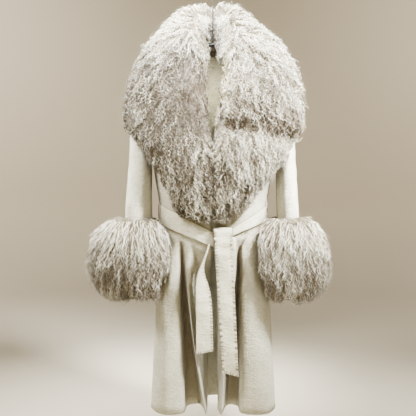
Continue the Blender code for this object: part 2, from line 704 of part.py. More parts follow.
# Collar, laid over the shoulders and fronts
bpy.context.view_layer.update()
under = tree_of([front_right, front_left, back, arms, binding] + sleeves)
collar("collar_right", -1, COLLAR_RIGHT, under, pile)
collar("collar_left", 1, COLLAR_LEFT, under, pile)

# Belt: the right stretch reaches past the centre to the knot, the left one stops at it
BELT_ROW = 2 * len(FRONT_RIGHT_SKIRT)
front_line = list(right_grid[BELT_ROW]) + [np.array([KNOT_RIGHT_X * MM, BELT_ROWS[0].edge_y * MM, 0])]
belts = [belt_strip("belt_right", front_line, BELT_SIDE_RIGHT, BELT_KNOT_RIGHT, belting),
         belt_strip("belt_left", up_to(left_grid[BELT_ROW], KNOT_LEFT_X), BELT_SIDE_LEFT, BELT_KNOT_LEFT, belting),
         belt_strip("belt_back", hind_grid[BELT_ROW], BELT_BACK, BELT_BACK, belting)]
tail("belt_tail_front", TAIL_FRONT, 2, TAIL_FRONT_SLANT, belting)
tail("belt_tail_under", TAIL_UNDER, 4, TAIL_UNDER_SLANT, belting)

# Knot and carriers
knot_rings = []
for row in KNOT:
    ring = []
    for turn in np.arange(KNOT_SIDES) * 2 * math.pi / KNOT_SIDES:
        ring.append((row.x, row.y + row.deep * math.cos(turn), row.z + row.high * math.sin(turn)))
    knot_rings.append(ring)
loft("belt_knot", np.array(knot_rings) * MM, belting)
for side, name in ((-1, "carrier_right"), (1, "carrier_left")):
    belt = BELT_ROWS[0]
    share = (CARRIER_X - belt.edge_x) / (belt.side_x - belt.edge_x)
    y = belt.side_y + (belt.edge_y - belt.side_y) * rounded(share, WAIST_FULLNESS)
    path = [(side * (CARRIER_X + 0.7 * lift), y - 0.7 * lift, z) for z, lift in CARRIER_PATH]
    tube(name, path, CARRIER_RADIUS, belting)

# Cuffs, round the ends of the sleeves
bpy.context.view_layer.update()
body = tree_of([front_right, front_left, back] + belts)
for spec in CUFFS:
    cuff(spec, body, pile)
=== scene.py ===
# %% [markdown]
# # A belted wool wrap coat with a lamb shearling collar and cuffs
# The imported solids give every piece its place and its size. This lesson dresses them: cloth
# shells with soft creases for the wool, combed and curled locks for the shearling, and the hand
# stitches of the belt. Everything is made from named sizes, so each number can be tried and changed.

import json
import math
from collections import namedtuple

import bmesh
import bpy
import numpy as np
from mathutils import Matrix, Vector
from mathutils.bvhtree import BVHTree

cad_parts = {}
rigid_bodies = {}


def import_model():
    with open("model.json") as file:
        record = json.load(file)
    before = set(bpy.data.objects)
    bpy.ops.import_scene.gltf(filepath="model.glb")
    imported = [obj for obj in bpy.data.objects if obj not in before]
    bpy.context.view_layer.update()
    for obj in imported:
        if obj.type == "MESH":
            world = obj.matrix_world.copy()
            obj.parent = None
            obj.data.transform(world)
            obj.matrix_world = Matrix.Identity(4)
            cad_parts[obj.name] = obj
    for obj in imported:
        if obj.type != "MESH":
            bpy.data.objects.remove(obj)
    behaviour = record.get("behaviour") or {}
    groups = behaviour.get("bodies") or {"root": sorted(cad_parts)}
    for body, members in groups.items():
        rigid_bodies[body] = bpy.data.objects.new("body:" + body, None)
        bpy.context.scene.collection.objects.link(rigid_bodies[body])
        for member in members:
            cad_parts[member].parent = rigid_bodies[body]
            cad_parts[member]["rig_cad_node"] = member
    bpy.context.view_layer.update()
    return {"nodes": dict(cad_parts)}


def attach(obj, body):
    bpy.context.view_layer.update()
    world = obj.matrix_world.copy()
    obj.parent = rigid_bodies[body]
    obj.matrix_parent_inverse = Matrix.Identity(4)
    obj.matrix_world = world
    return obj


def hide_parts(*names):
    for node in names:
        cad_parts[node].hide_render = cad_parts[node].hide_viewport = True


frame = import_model()
nodes = frame["nodes"]
MM = 0.001
TURN = 2 * math.pi

# %% [markdown]
# ## The camera
# The coat was photographed from straight in front at chest height. A level camera 1.8 m away, with
# a normal lens, gives the same mild perspective: the near fur looks larger than the back. Its place,
# its distance and the breadth of the picture set it, and the length of the lens follows from them.

# %% The camera
VIEW_X, VIEW_Z = -0.016, -0.7456
VIEW_DISTANCE = 1.8
VIEW_WIDTH = 1.3312     # breadth of the picture in the plane of the shoulders
FILM_WIDTH = 36         # millimetres


def placed(name, data):
    """A new object in the scene, for a mesh, a lamp or a camera."""
    made = bpy.data.objects.new(name, data)
    bpy.context.scene.collection.objects.link(made)
    return made


lens = bpy.data.cameras.new("front_view")
lens.sensor_width = FILM_WIDTH
lens.lens = FILM_WIDTH * VIEW_DISTANCE / VIEW_WIDTH
camera = placed("front_view", lens)
camera.location = (VIEW_X, -VIEW_DISTANCE, VIEW_Z)
camera.rotation_euler = (math.radians(90), 0, 0)
bpy.context.scene.camera = camera
print("lens in mm:", round(lens.lens, 1))

# %% [markdown]
# ## Small helpers for nodes
# A material is a tree of nodes. It could be drawn by hand in the shader editor. Written as code, each
# node takes about one line with its settings and its links, and the whole finish can be read from top
# to bottom. The wool is a node group: a finish with its own dials, made once and set in each material.

# %% Node helpers


def feed(node, values):
    """Gives values or links to a node's input sockets; returns the node."""
    for key, value in values.items():
        if isinstance(value, bpy.types.NodeSocket):
            node.id_data.links.new(value, node.inputs[key])
        else:
            node.inputs[key].default_value = value
    return node


def put(tree, kind, values=None, **settings):
    """A new node with its settings, and values or links for its input sockets."""
    node = tree.nodes.new(kind)
    for key, value in settings.items():
        setattr(node, key, value)
    return feed(node, values or {})


def sums(tree, operation, first, second=0.0, third=0.0):
    """The result of one piece of arithmetic between sockets or numbers."""
    return put(tree, "ShaderNodeMath", {0: first, 1: second, 2: third}, operation=operation).outputs[0]


def blended(tree, share, first, second, way="MIX"):
    """A colour between two colours."""
    values = {"Factor": share, 6: first, 7: second}
    return put(tree, "ShaderNodeMix", values, data_type="RGBA", blend_type=way).outputs[2]


def remapped(tree, value, low, high, to_low=0.0, to_high=1.0):
    """A value stretched from one range to another, and held at its ends."""
    values = {"Value": value, "From Min": low, "From Max": high, "To Min": to_low, "To Max": to_high}
    return put(tree, "ShaderNodeMapRange", values).outputs[0]


def relieved(tree, height, strength, distance):
    """The normal of a surface with a fine relief."""
    values = {"Height": height, "Strength": strength, "Distance": distance}
    return put(tree, "ShaderNodeBump", values).outputs[0]


def finish(name):
    """A new material; returns it, its tree and its main shader."""
    made = bpy.data.materials.new(name)
    made.use_nodes = True
    return made, made.node_tree, made.node_tree.nodes["Principled BSDF"]


def place_on(tree):
    """The place of each point in its object's own space."""
    return put(tree, "ShaderNodeTexCoord").outputs["Object"]


def tint(red, green, blue):
    """A colour read off a screen, 0 to 255, as the linear values that Blender's nodes use."""
    made = []
    for value in (red, green, blue):
        share = value / 255
        made.append(share / 12.92 if share <= 0.04045 else ((share + 0.055) / 1.055) ** 2.4)
    return (*made, 1.0)


print("middle grey in linear light:", round(tint(128, 128, 128)[0], 3))

# %% [markdown]
# ## A soft studio
# The coat hangs clear of a plain pale floor that turns up into a plain round wall, in warm beige, so
# it can be looked at from every side. A weak lamp near the camera, one high on each side and one
# overhead give soft shadows, brightest on the top of the collar. A narrow beam lights the neck
# opening, one lamp rakes over the back from the side, and four face outwards to light the wall. A
# narrow beam keeps a lamp's light off what it isn't meant for, which a photographer does with flags.

# %% Lamps
Lamp = namedtuple("Lamp", "name place aim size power colour beam")
LAMPS = [
    Lamp("lamp_front", (-0.4, -2.3, 0.2), (0, 0, -0.5), 0.8, 3.5, (1.0, 0.98, 0.93), 180),
    Lamp("lamp_neck", (0.0, -0.9, -0.42), (0, 0.05, -0.37), 0.10, 0.26, (1.0, 0.94, 0.78), 14),
    Lamp("lamp_left", (-1.05, -0.8, 0.45), (-0.22, -0.05, -0.5), 0.5, 10.5, (1.0, 1.0, 0.97), 56),
    Lamp("lamp_right", (1.05, -0.85, 0.42), (0.27, -0.05, -0.52), 0.4, 30, (0.98, 1.0, 1.0), 44),
    Lamp("lamp_top", (-0.08, -0.05, 0.5), (0, -0.25, -0.6), 0.5, 55, (0.98, 1.0, 1.0), 90),
    Lamp("lamp_back", (-1.7, 1.15, 0.3), (0, 0.05, -0.8), 0.5, 40, (1.0, 0.99, 0.96), 90),
]
STUDIO_RADIUS = 4.4     # the wall goes all round, so the coat can be looked at from any side
WALL_LAMP_RADIUS, WALL_LAMP_Z, WALL_AIM_Z = 1.6, 1.7, 0.1
for name, turn, power in (("right", 45, 74), ("left", 135, 116),
                          ("near_left", 225, 94), ("near_right", 315, 94)):
    east, north = math.cos(math.radians(turn)), math.sin(math.radians(turn))
    place = (WALL_LAMP_RADIUS * east, WALL_LAMP_RADIUS * north, WALL_LAMP_Z)
    aim = (STUDIO_RADIUS * east, STUDIO_RADIUS * north, WALL_AIM_Z)
    LAMPS.append(Lamp("lamp_wall_" + name, place, aim, 0.8, power, (1.0, 0.98, 0.95), 150))

for row in LAMPS:
    light = bpy.data.lights.new(row.name, "AREA")
    light.shape = "DISK"
    light.size = row.size
    light.energy = row.power
    light.color = row.colour
    light.spread = math.radians(row.beam)
    holder = placed(row.name, light)
    holder.location = row.place
    holder.rotation_euler = (Vector(row.aim) - Vector(row.place)).to_track_quat("-Z", "Y").to_euler()

world = bpy.data.worlds.new("studio_air")
world.use_nodes = True
feed(world.node_tree.nodes["Background"], {"Color": tint(226, 218, 208), "Strength": 0.15})
bpy.context.scene.world = world
print("lamps:", len(LAMPS))

# %% Floor and wall
FLOOR_Z = -1.50
SWEEP = 0.9             # radius of the curve where the floor turns up into the wall
SWEEP_STEPS = 12
WALL_TOP = 3.2
HUB = 0.02              # radius of the disc that closes the middle of the floor
SIDES = 96
FLOOR_SHADE_FADE = 0.7              # height over which the floor's painted shade goes over into the wall's colour
profile = [(HUB, FLOOR_Z)]
for step in range(SWEEP_STEPS + 1):
    angle = math.radians(90 * step / SWEEP_STEPS)
    across, down = SWEEP * math.sin(angle), SWEEP * math.cos(angle)
    profile.append((STUDIO_RADIUS - SWEEP + across, FLOOR_Z + SWEEP - down))
profile.append((STUDIO_RADIUS, WALL_TOP))
verts = [(radius * math.cos(TURN * k / SIDES), radius * math.sin(TURN * k / SIDES), z)
         for radius, z in profile for k in range(SIDES)]
faces = [tuple(range(SIDES))[::-1]]
for low in range(0, (len(profile) - 1) * SIDES, SIDES):
    for k in range(SIDES):
        after = (k + 1) % SIDES
        faces.append((low + k, low + after, low + SIDES + after, low + SIDES + k))

paint, tree, shader = finish("studio_wall")
rise = put(tree, "ShaderNodeSeparateXYZ", {0: place_on(tree)}).outputs["Z"]
# Painted shade: the floor is coloured darker than the wall, against the overhead lamps' light on it.
share = remapped(tree, rise, FLOOR_Z, FLOOR_Z + FLOOR_SHADE_FADE)
feed(shader, {"Base Color": blended(tree, share, tint(184, 175, 155), tint(203, 192, 168)),
              "Roughness": 0.9})
mesh = bpy.data.meshes.new("studio_floor")
mesh.from_pydata(verts, [], faces)
mesh.shade_smooth()
mesh.materials.append(paint)
floor = placed("studio_floor", mesh)
print("floor at", FLOOR_Z, "m, faces:", len(faces))

# %% [markdown]
# ## Brushed wool
# Double-faced wool is felted and brushed, so no weave shows. What shows is a short nap, combed
# downwards, and a soft cloudiness where the nap lies differently. A picture of wool would repeat and
# would need flat pieces; noise in the coat's own space runs on from panel to panel. The group gives
# two results: Tone, which tints the colour, and Height, which a Bump node turns into relief. Each
# material paints into its colour the shade that gathers in folds and along seams, where light gets in
# only from one side.

# %% The wool group


def new_group(name, inputs, outputs):
    """A shader node group with named sockets; returns the tree, its input node and its output node."""
    tree = bpy.data.node_groups.new(name, "ShaderNodeTree")
    for label, value in inputs.items():
        kind = "NodeSocketVector" if value is None else "NodeSocketFloat"
        socket = tree.interface.new_socket(name=label, in_out="INPUT", socket_type=kind)
        if value is not None:
            socket.default_value = value
    for label in outputs:
        tree.interface.new_socket(name=label, in_out="OUTPUT", socket_type="NodeSocketFloat")
    return tree, tree.nodes.new("NodeGroupInput"), tree.nodes.new("NodeGroupOutput")


wool, dials, result = new_group("brushed_wool", {"Place": None, "Fibre": 700.0, "Cloud": 14.0},
                                ("Tone", "Height"))
place = dials.outputs["Place"]
combed = put(wool, "ShaderNodeVectorMath", {0: place, 1: (1.0, 1.0, 0.38)}, operation="MULTIPLY").outputs[0]
nap = put(wool, "ShaderNodeTexNoise", {"Vector": combed, "Scale": dials.outputs["Fibre"], "Detail": 3.0,
                                       "Roughness": 0.6, "Distortion": 0.6}).outputs["Fac"]
swirl = put(wool, "ShaderNodeTexNoise", {"Vector": place, "Scale": dials.outputs["Cloud"], "Detail": 5.0,
                                         "Roughness": 0.62, "Distortion": 0.4}).outputs["Fac"]
slant = put(wool, "ShaderNodeMapping", {"Vector": place, "Rotation": (0, math.radians(24), 0),
                                        "Scale": (0.72, 0.8, 1.25)}).outputs[0]
rub = put(wool, "ShaderNodeTexNoise", {"Vector": slant, "Scale": 115.0, "Detail": 2.0,
                                       "Distortion": 0.8}).outputs["Fac"]
soft_part = sums(wool, "MULTIPLY_ADD", swirl, 0.46, sums(wool, "MULTIPLY", nap, 0.24))
feed(result, {"Tone": sums(wool, "MULTIPLY_ADD", rub, 0.30, soft_part),
              "Height": sums(wool, "MULTIPLY_ADD", rub, 1.6, nap)})
print("group:", wool.name)

# %% The wool materials
FOLD_SHADE_TONE = tint(112, 100, 74)        # painted shade: the wool's colour deep in a fold
FOLD_SHADE_REACH, FOLD_SHADE_START = 0.11, 0.18     # metres, and the open share where the painted fold shade is darkest
SEAM_SHADE_REACH = 0.020                          # how near another piece has to be for painted shade on the wool
# The painted shade beside seams fades out between these two open shares of the air and leaves at least this
# share of the wool's own colour.
SEAM_SHADE_START, SEAM_SHADE_END, SEAM_SHADE_LEAST = 0.45, 0.95, 0.2


def open_air(tree, reach):
    """How much of the air within reach of each point is open."""
    return put(tree, "ShaderNodeAmbientOcclusion", {"Distance": reach}, samples=8).outputs["AO"]


def wool_finish(name, light, deep, fibre, cloud, strength, fold_shade_end):
    """A brushed wool in two close tones, with painted shade in folds and beside whatever it touches.

    The painted shade in folds is full where little of the air is open, and gone where the share given last
    is open."""
    made, tree, shader = finish(name)
    settings = {"Place": place_on(tree), "Fibre": fibre, "Cloud": cloud}
    face = put(tree, "ShaderNodeGroup", settings, node_tree=wool)
    spread = remapped(tree, face.outputs["Tone"], 0.40, 0.60)
    # Painted shade: the colour goes over to a dark tone where little air is open, in folds and close beside
    # other pieces.
    fold_shade = remapped(tree, open_air(tree, FOLD_SHADE_REACH), FOLD_SHADE_START, fold_shade_end)
    seam_shade = remapped(tree, open_air(tree, SEAM_SHADE_REACH), SEAM_SHADE_START, SEAM_SHADE_END, SEAM_SHADE_LEAST)
    lit = sums(tree, "MULTIPLY", fold_shade, seam_shade)
    feed(shader, {"Base Color": blended(tree, lit, FOLD_SHADE_TONE, blended(tree, spread, deep, light)),
                  "Normal": relieved(tree, face.outputs["Height"], strength, 0.0026),
                  "Roughness": 0.86, "Sheen Weight": 0.25, "Sheen Roughness": 0.5,
                  "Specular IOR Level": 0.25})
    return made


# The sleeves and the body are one cloth: the sleeves' copy is paler and has less painted fold shade, as
# painted light where the lamps light them more, and the body's copy is darker, as painted shade.
coat_wool_shaded = wool_finish("coat_wool_shaded", tint(186, 182, 160), tint(159, 154, 130),
                        fibre=520, cloud=16, strength=0.8, fold_shade_end=0.68)
sleeve_wool_lit = wool_finish("sleeve_wool_lit", tint(214, 210, 190), tint(190, 185, 160),
                          fibre=520, cloud=16, strength=0.8, fold_shade_end=0.20)
belt_wool = wool_finish("belt_wool", tint(200, 197, 172), tint(172, 166, 138),
                        fibre=560, cloud=26, strength=0.6, fold_shade_end=0.60)
print("wools:", coat_wool_shaded.name, sleeve_wool_lit.name, belt_wool.name)

# %% [markdown]
# ## Cloth shells
# Each panel's solid is already a thin wall in the shape of the hanging cloth. The dressing copies
# that wall, joins its triangles back into quads, and subdivides it. The cut edges are creased so that
# they keep their place beside the next panel. A cloth simulation could drape the panels too, but this
# coat hangs still and its folds are known from the photo, so they are placed one by one.

# %% From a solid to a visible piece


def quads_of(node):
    """A solid's mesh in metres as a bmesh, with its triangles joined into quads where they pair up."""
    work = bmesh.new()
    work.from_mesh(nodes[node].data)
    bmesh.ops.remove_doubles(work, verts=work.verts, dist=1e-6)
    bmesh.ops.join_triangles(work, faces=work.faces, angle_face_threshold=math.radians(50),
                             angle_shape_threshold=math.radians(50))
    bmesh.ops.recalc_face_normals(work, faces=work.faces)
    return work


def mesh_of(name, work):
    """A bmesh turned into a mesh."""
    data = bpy.data.meshes.new(name)
    work.to_mesh(data)
    work.free()
    return data


def worn(name, data, skin, stands_for):
    """A visible piece that rides with the coat, in the place of the solids that it stands for."""
    data.materials.clear()
    data.materials.append(skin)
    data.shade_smooth()
    made = placed(name, data)
    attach(made, "root")
    if stands_for:
        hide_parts(*stands_for)
    return made


def settled(made):
    """The piece with its modifiers turned into plain mesh."""
    graph = bpy.context.evaluated_depsgraph_get()
    data = bpy.data.meshes.new_from_object(made.evaluated_get(graph))
    made.modifiers.clear()
    made.data = data
    data.shade_smooth()
    return made


print("faces of the back, before and after pairing:",
      len(nodes["back"].data.polygons), len(quads_of("back").faces))

# %% [markdown]
# ## Creases, one by one
# Heavy wool makes long, soft troughs under the belt, across the bend of a sleeve and where the fronts
# swing open. Each row of the table is one trough or ridge over the panel's face, and a sum of such
# rows moves both faces of the wall together, so the cloth keeps its thickness.

# %% The creases
# From one end to the other in millimetres: a negative depth sinks, and bow bends the middle sideways.
Crease = namedtuple("Crease", "x1 z1 x2 z2 width depth bow")
CREASES = {
    "front_right": (
        Crease(-150, -872, -120, -1130, 15, -4.5, 6), Crease(-128, -862, -142, -1010, 11, 3, -4),
        Crease(-168, -905, -158, -1180, 14, 3, 5), Crease(-140, -1060, -168, -1330, 20, -4.5, 8),
        Crease(-108, -1010, -120, -1290, 16, 3, -6), Crease(-62, -862, -96, -905, 9, -4, 3),
        Crease(-34, -880, -78, -915, 8, -3, -3), Crease(-150, -700, -90, -742, 14, -4.5, 5),
        Crease(-178, -610, -128, -690, 16, 4, -6), Crease(-160, -560, -190, -650, 14, -3, 4),
        Crease(-118, -690, -66, -770, 12, -3, 4), Crease(-148, -1180, -128, -1360, 15, 3, 4),
        Crease(-160, -808, 0, -874, 7, -7, 0), Crease(-92, -846, -80, -990, 9, -13, 0),
        Crease(-58, -852, -50, -930, 9, -9, 0),
    ),
    "front_left": (
        Crease(148, -852, 128, -1080, 15, -4.5, -6), Crease(112, -850, 122, -985, 11, 3, 4),
        Crease(168, -900, 160, -1150, 14, 3, -5), Crease(132, -1040, 162, -1320, 20, -4.5, -8),
        Crease(100, -1060, 106, -1330, 15, 3, 6), Crease(84, -840, 104, -890, 9, -4, -3),
        Crease(150, -690, 96, -735, 14, -4.5, -5), Crease(180, -600, 134, -680, 16, 4, 6),
        Crease(120, -640, 168, -700, 13, -3, -4), Crease(120, -1190, 140, -1362, 15, 3, -4),
        Crease(30, -845, 168, -790, 7, -7, 0), Crease(72, -842, 80, -970, 9, -12, 0),
    ),
    "back": (
        Crease(-120, -430, -60, -640, 22, -8, 10), Crease(118, -420, 66, -650, 22, -8, -10),
        Crease(-168, -520, -120, -720, 16, 7, -8), Crease(166, -530, 112, -715, 16, 7, 8),
        Crease(-60, -690, 20, -738, 14, -6, 5), Crease(30, -700, 96, -742, 13, -6, -4),
        Crease(-100, -800, -122, -980, 14, -7, 5), Crease(-44, -805, -34, -940, 12, -6, -4),
        Crease(36, -800, 50, -990, 14, -7, 5), Crease(104, -802, 122, -960, 12, -6, -5),
        Crease(-150, -1010, -130, -1300, 20, 7, 8), Crease(0, -980, 12, -1330, 22, 8, -9),
        Crease(86, -1040, 78, -1340, 18, 7, 6), Crease(-80, -1060, -66, -1352, 18, -6, 6),
    ),
    "sleeve_right": (
        Crease(-248, -520, -215, -600, 14, -5, 5), Crease(-255, -585, -222, -655, 13, -4.5, 4),
        Crease(-262, -650, -225, -718, 13, -4.5, -4), Crease(-236, -700, -262, -772, 12, 4, 4),
        Crease(-212, -560, -205, -690, 12, 4, -4),
    ),
    "sleeve_left": (
        Crease(246, -515, 214, -590, 14, -5, -5), Crease(252, -580, 220, -645, 13, -4.5, -4),
        Crease(256, -645, 222, -715, 12, -4.5, 4), Crease(232, -705, 254, -775, 12, 4, -4),
    ),
}
UNEVEN = 0.7            # millimetres by which cloth this heavy is never quite flat


def relief(points, table, way):
    """The shift of each point: along way, by the sum of the panel's creases."""
    flat = points[:, [0, 2]] / MM
    total = np.zeros(len(points))
    for row in table:
        start, end = np.array([row.x1, row.z1]), np.array([row.x2, row.z2])
        span = end - start
        length = np.hypot(*span)
        along = np.clip((flat - start) @ span / length ** 2, 0, 1)
        across = np.array([span[1], -span[0]]) / length
        away = (flat - start) @ across - row.bow * np.sin(along * math.pi)
        fade = np.clip(np.sin(along * math.pi), 0, 1) ** 0.6
        total += row.depth * fade * np.exp(-(away / row.width) ** 2)
    x, z = flat.T
    total += UNEVEN * np.sin(x / 17 + np.sin(z / 61) * 1.7) * np.sin(z / 83 + x / 47)
    return way * (total * MM)[:, None]


print("creases:", {node: len(rows) for node, rows in CREASES.items()})

# %% Fronts, back and sleeves
SLEEVE_X, SLEEVE_HALF_X, SLEEVE_HALF_Y = 0.231, 0.04, 0.07
SLEEVE_HEIGHTS, SLEEVE_DEPTHS = (-0.80, -0.545, -0.40), (-0.045, -0.006, 0.0)   # a sleeve's middle line
CUT_EDGE = math.radians(62)     # sharper edges than this are cut edges
SUBDIVISIONS = 2


def outward(points, node):
    """Which way is out: forwards on a front, backwards on the back, off its middle line on a sleeve."""
    way = np.zeros_like(points)
    if node.startswith("sleeve"):
        middle_y = np.interp(points[:, 2], SLEEVE_HEIGHTS, SLEEVE_DEPTHS)
        way[:, 0] = (points[:, 0] - np.sign(points[:, 0]) * SLEEVE_X) / SLEEVE_HALF_X
        way[:, 1] = (points[:, 1] - middle_y) / SLEEVE_HALF_Y
        way /= np.linalg.norm(way, axis=1)[:, None] + 1e-9
    else:
        way[:, 1] = 1.0 if node == "back" else -1.0
    return way


def cloth_panel(node, skin):
    """One panel of wool, from the solid's wall."""
    work = quads_of(node)
    crease = work.edges.layers.float.new("crease_edge")
    for edge in work.edges:
        if edge.is_manifold and edge.calc_face_angle(0) > CUT_EDGE:
            edge[crease] = 1.0
    name = "wool_" + node
    made = worn(name, mesh_of(name, work), skin, [node])
    smooth = made.modifiers.new("drape", "SUBSURF")
    smooth.levels = smooth.render_levels = SUBDIVISIONS
    settled(made)
    points = np.array([vertex.co for vertex in made.data.vertices])
    points += relief(points, CREASES[node], outward(points, node))
    made.data.vertices.foreach_set("co", points.ravel())
    made.data.update()
    return made


panels = {}
for node in ("back", "front_right", "front_left", "sleeve_right", "sleeve_left"):
    panels[node] = cloth_panel(node, sleeve_wool_lit if node.startswith("sleeve") else coat_wool_shaded)
    print(node, "faces:", len(panels[node].data.polygons))

# %% [markdown]
# ## The belt
# The belt is two layers of the same wool, closed by hand along its edges. Its solids are plain
# strips, so the dressing rounds their four long edges with a bevel. The light that runs along such a
# rounded edge is what tells the eye that the cloth is thick.

# %% Belt strips, knot and binding


def rounded(made, width, segments):
    """Rounds the sharp edges of a piece by a width in millimetres."""
    bevel = made.modifiers.new("edges", "BEVEL")
    bevel.width = width * MM
    bevel.segments = segments
    bevel.limit_method = "ANGLE"
    bevel.angle_limit = math.radians(40)


def strip_piece(node, skin, rounding):
    """A flat strip with rounded edges, cut finely across its faces."""
    name = "wool_" + node
    made = worn(name, mesh_of(name, quads_of(node)), skin, [node])
    rounded(made, rounding, 3)
    fine = made.modifiers.new("fine", "SUBSURF")
    fine.subdivision_type = "SIMPLE"
    fine.levels = fine.render_levels = 1
    return settled(made)


belts = {}
for node, rounding in (("belt_right", 1.1), ("belt_left", 1.1), ("belt_back", 1.1), ("belt_knot", 0.8)):
    belts[node] = strip_piece(node, belt_wool, rounding)
    print(node, "faces:", len(belts[node].data.polygons))
binding = strip_piece("neck_binding", coat_wool_shaded, 0.5)

# %% [markdown]
# ## Tails and their hand stitches
# The two layers of a tail are closed with a whip stitch: the thread goes round the edge every
# 9 mm and pulls the wool in, so the edge is scalloped. The tail is cut finely along its length, the
# scallops and a few ripples are pressed in, and one short thread is laid in each dip. A bump could
# draw the threads, but not the scalloped outline, which shows from a step away.

# %% The tails
STITCH_PITCH = 9 * MM
FIRST_STITCH, LAST_STITCH = 0.020, 0.008    # from the top and from the end of a tail
RING = 2.2 * MM                             # length of the small faces along a tail
WIDE_EDGE, WIDE_CUTS = 0.018, 7             # edges across a tail that are longer than this are cut so often
DIP_LENGTH, DIP_WIDTH = 2.2 * MM, 6.0 * MM
DIP_IN, DIP_BACK = 1.2 * MM, 1.5 * MM       # how far a stitch pulls the edge in, and how far back
EDGE_WINDOW = 0.004                         # points this close in height are looked at for the edge


def edge_point(points, z, side):
    """The point furthest to one side at a height."""
    near = points[np.abs(points[:, 2] - z) < EDGE_WINDOW]
    return near[np.argmax(near[:, 0] * side)] if len(near) else None


def cut_finely(work):
    """Cuts the long edges of a tail into small faces, along it and across it."""
    edges = [(edge, edge.calc_length(), abs(edge.verts[0].co.z - edge.verts[1].co.z)) for edge in work.edges]
    long_edges = [edge for edge, length, drop in edges if drop > 0.8 * length and length > 2 * RING]
    usual = sorted(edge.calc_length() for edge in long_edges)[len(long_edges) // 2]
    bmesh.ops.subdivide_edges(work, edges=long_edges, cuts=max(1, round(usual / RING) - 1))
    wide_edges = [edge for edge in work.edges if edge.calc_length() > WIDE_EDGE
                  and abs(edge.verts[0].co.z - edge.verts[1].co.z) < 0.5 * edge.calc_length()]
    bmesh.ops.subdivide_edges(work, edges=wide_edges, cuts=WIDE_CUTS)


def tail_piece(node, sides):
    """A tail with soft ripples, and scallops on its stitched sides; returns it and its stitch heights."""
    work = quads_of(node)
    cut_finely(work)
    name = "wool_" + node
    made = worn(name, mesh_of(name, work), belt_wool, [node])
    rounded(made, 1.2, 2)
    settled(made)
    points = np.array([vertex.co for vertex in made.data.vertices])
    heights = np.arange(points[:, 2].max() - FIRST_STITCH, points[:, 2].min() + LAST_STITCH, -STITCH_PITCH)
    moved = points.copy()
    x, z = points[:, 0] / MM, points[:, 2] / MM
    fine_ripple = 0.9 * np.sin(z / 7.3 + 0.9 * np.sin(z / 23) + x / 40) * np.sin(z / 61) ** 2
    broad_ripple = 1.0 * np.sin(z / 19 + x / 13)
    moved[:, 1] += (fine_ripple + broad_ripple) * MM
    for side in sides:
        for height in heights:
            edge = edge_point(points, height, side)
            if edge is None:
                continue
            near = np.exp(-((points[:, 2] - height) / DIP_LENGTH) ** 2)
            near *= np.exp(-((points[:, 0] - edge[0]) / DIP_WIDTH) ** 2)
            moved[:, 0] -= side * near * DIP_IN
            moved[:, 1] += near * DIP_BACK
    made.data.vertices.foreach_set("co", moved.ravel())
    made.data.update()
    return made, heights


print("stitches to a metre:", round(1 / STITCH_PITCH))

# %% The stitches
STITCH_REACH = 7.5 * MM     # how far a thread runs in from the edge
THREAD = 0.90 * MM          # radius of the thread
THREAD_SIDES = 6
END_MARGIN = 0.006          # from a tail's corner to the first stitch of its lower end


def surface(points, faces):
    """A search tree over a mesh, for the nearest point and for rays."""
    return BVHTree.FromPolygons([Vector(point) for point in points], [tuple(face) for face in faces])


def seats_of(points, sides, heights):
    """Where each stitch goes round the edge, and which way it runs in from there."""
    seats = [(edge_point(points, height, side), Vector((-side, 0, 0.35)))
             for side in sides for height in heights]
    low = points[points[:, 2] < points[:, 2].min() + 0.03]
    for x in np.arange(low[:, 0].min() + END_MARGIN, low[:, 0].max() - END_MARGIN / 2, STITCH_PITCH):
        column = low[np.abs(low[:, 0] - x) < EDGE_WINDOW]
        seats.append((column[np.argmin(column[:, 2])], Vector((0.3, 0, 1))))
    return [(Vector(seat), inward.normalized()) for seat, inward in seats if seat is not None]


def stitches(node, tail, sides, heights, skin):
    """The threads that wrap a tail's sides and its lower end, in one mesh."""
    points = np.array([vertex.co for vertex in tail.data.vertices])
    cloth = surface(points, [face.vertices for face in tail.data.polygons])
    work = bmesh.new()
    turns = np.linspace(0, TURN, THREAD_SIDES, endpoint=False)
    seats = seats_of(points, sides, heights)
    for seat, inward in seats:
        rise = inward.cross(Vector((0, 1, 0))).normalized()
        rings = []
        for reach in (-0.5 * MM, 0.3 * MM, STITCH_REACH * 0.5, STITCH_REACH):
            spot = seat + inward * reach
            hit = cloth.ray_cast(spot - Vector((0, 0.05, 0)), Vector((0, 1, 0)))[0]
            spot.y = (hit.y if hit else seat.y) - THREAD * 0.5
            offsets = [rise * math.cos(turn) - Vector((0, math.sin(turn), 0)) for turn in turns]
            rings.append([work.verts.new(spot + offset * THREAD) for offset in offsets])
        for first, second in zip(rings, rings[1:]):
            for k in range(THREAD_SIDES):
                after = (k + 1) % THREAD_SIDES
                work.faces.new((first[k], first[after], second[after], second[k]))
        work.faces.new(rings[0][::-1])
        work.faces.new(rings[-1])
    bmesh.ops.recalc_face_normals(work, faces=work.faces)
    print(node, "stitches:", len(seats))
    name = "stitches_" + node
    return worn(name, mesh_of(name, work), skin, None)


# Painted shade: the thread is dark brown for the shade of the dip that each stitch pulls into the wool, more
# than for its own colour.
shaded_thread, tree, shader = finish("thread_in_painted_shade")
feed(shader, {"Base Color": tint(84, 71, 47), "Roughness": 0.6, "Sheen Weight": 0.2})
for node, sides in (("belt_tail_front", (-1, 1)), ("belt_tail_under", (1,))):
    belts[node], heights = tail_piece(node, sides)
    stitches(node, belts[node], sides, heights, shaded_thread)
    print(node, "faces:", len(belts[node].data.polygons))

# %% [markdown]
# ## Carriers and hanger
# Two pieces are small and plain enough to show as they are: the thread loops that carry the belt at
# the side seams, and the wire hanger. Their solids stay visible and get only a finish. A loop is
# worked over with thread, so it has a fine slanting twist. The wire is dark, scuffed metal.

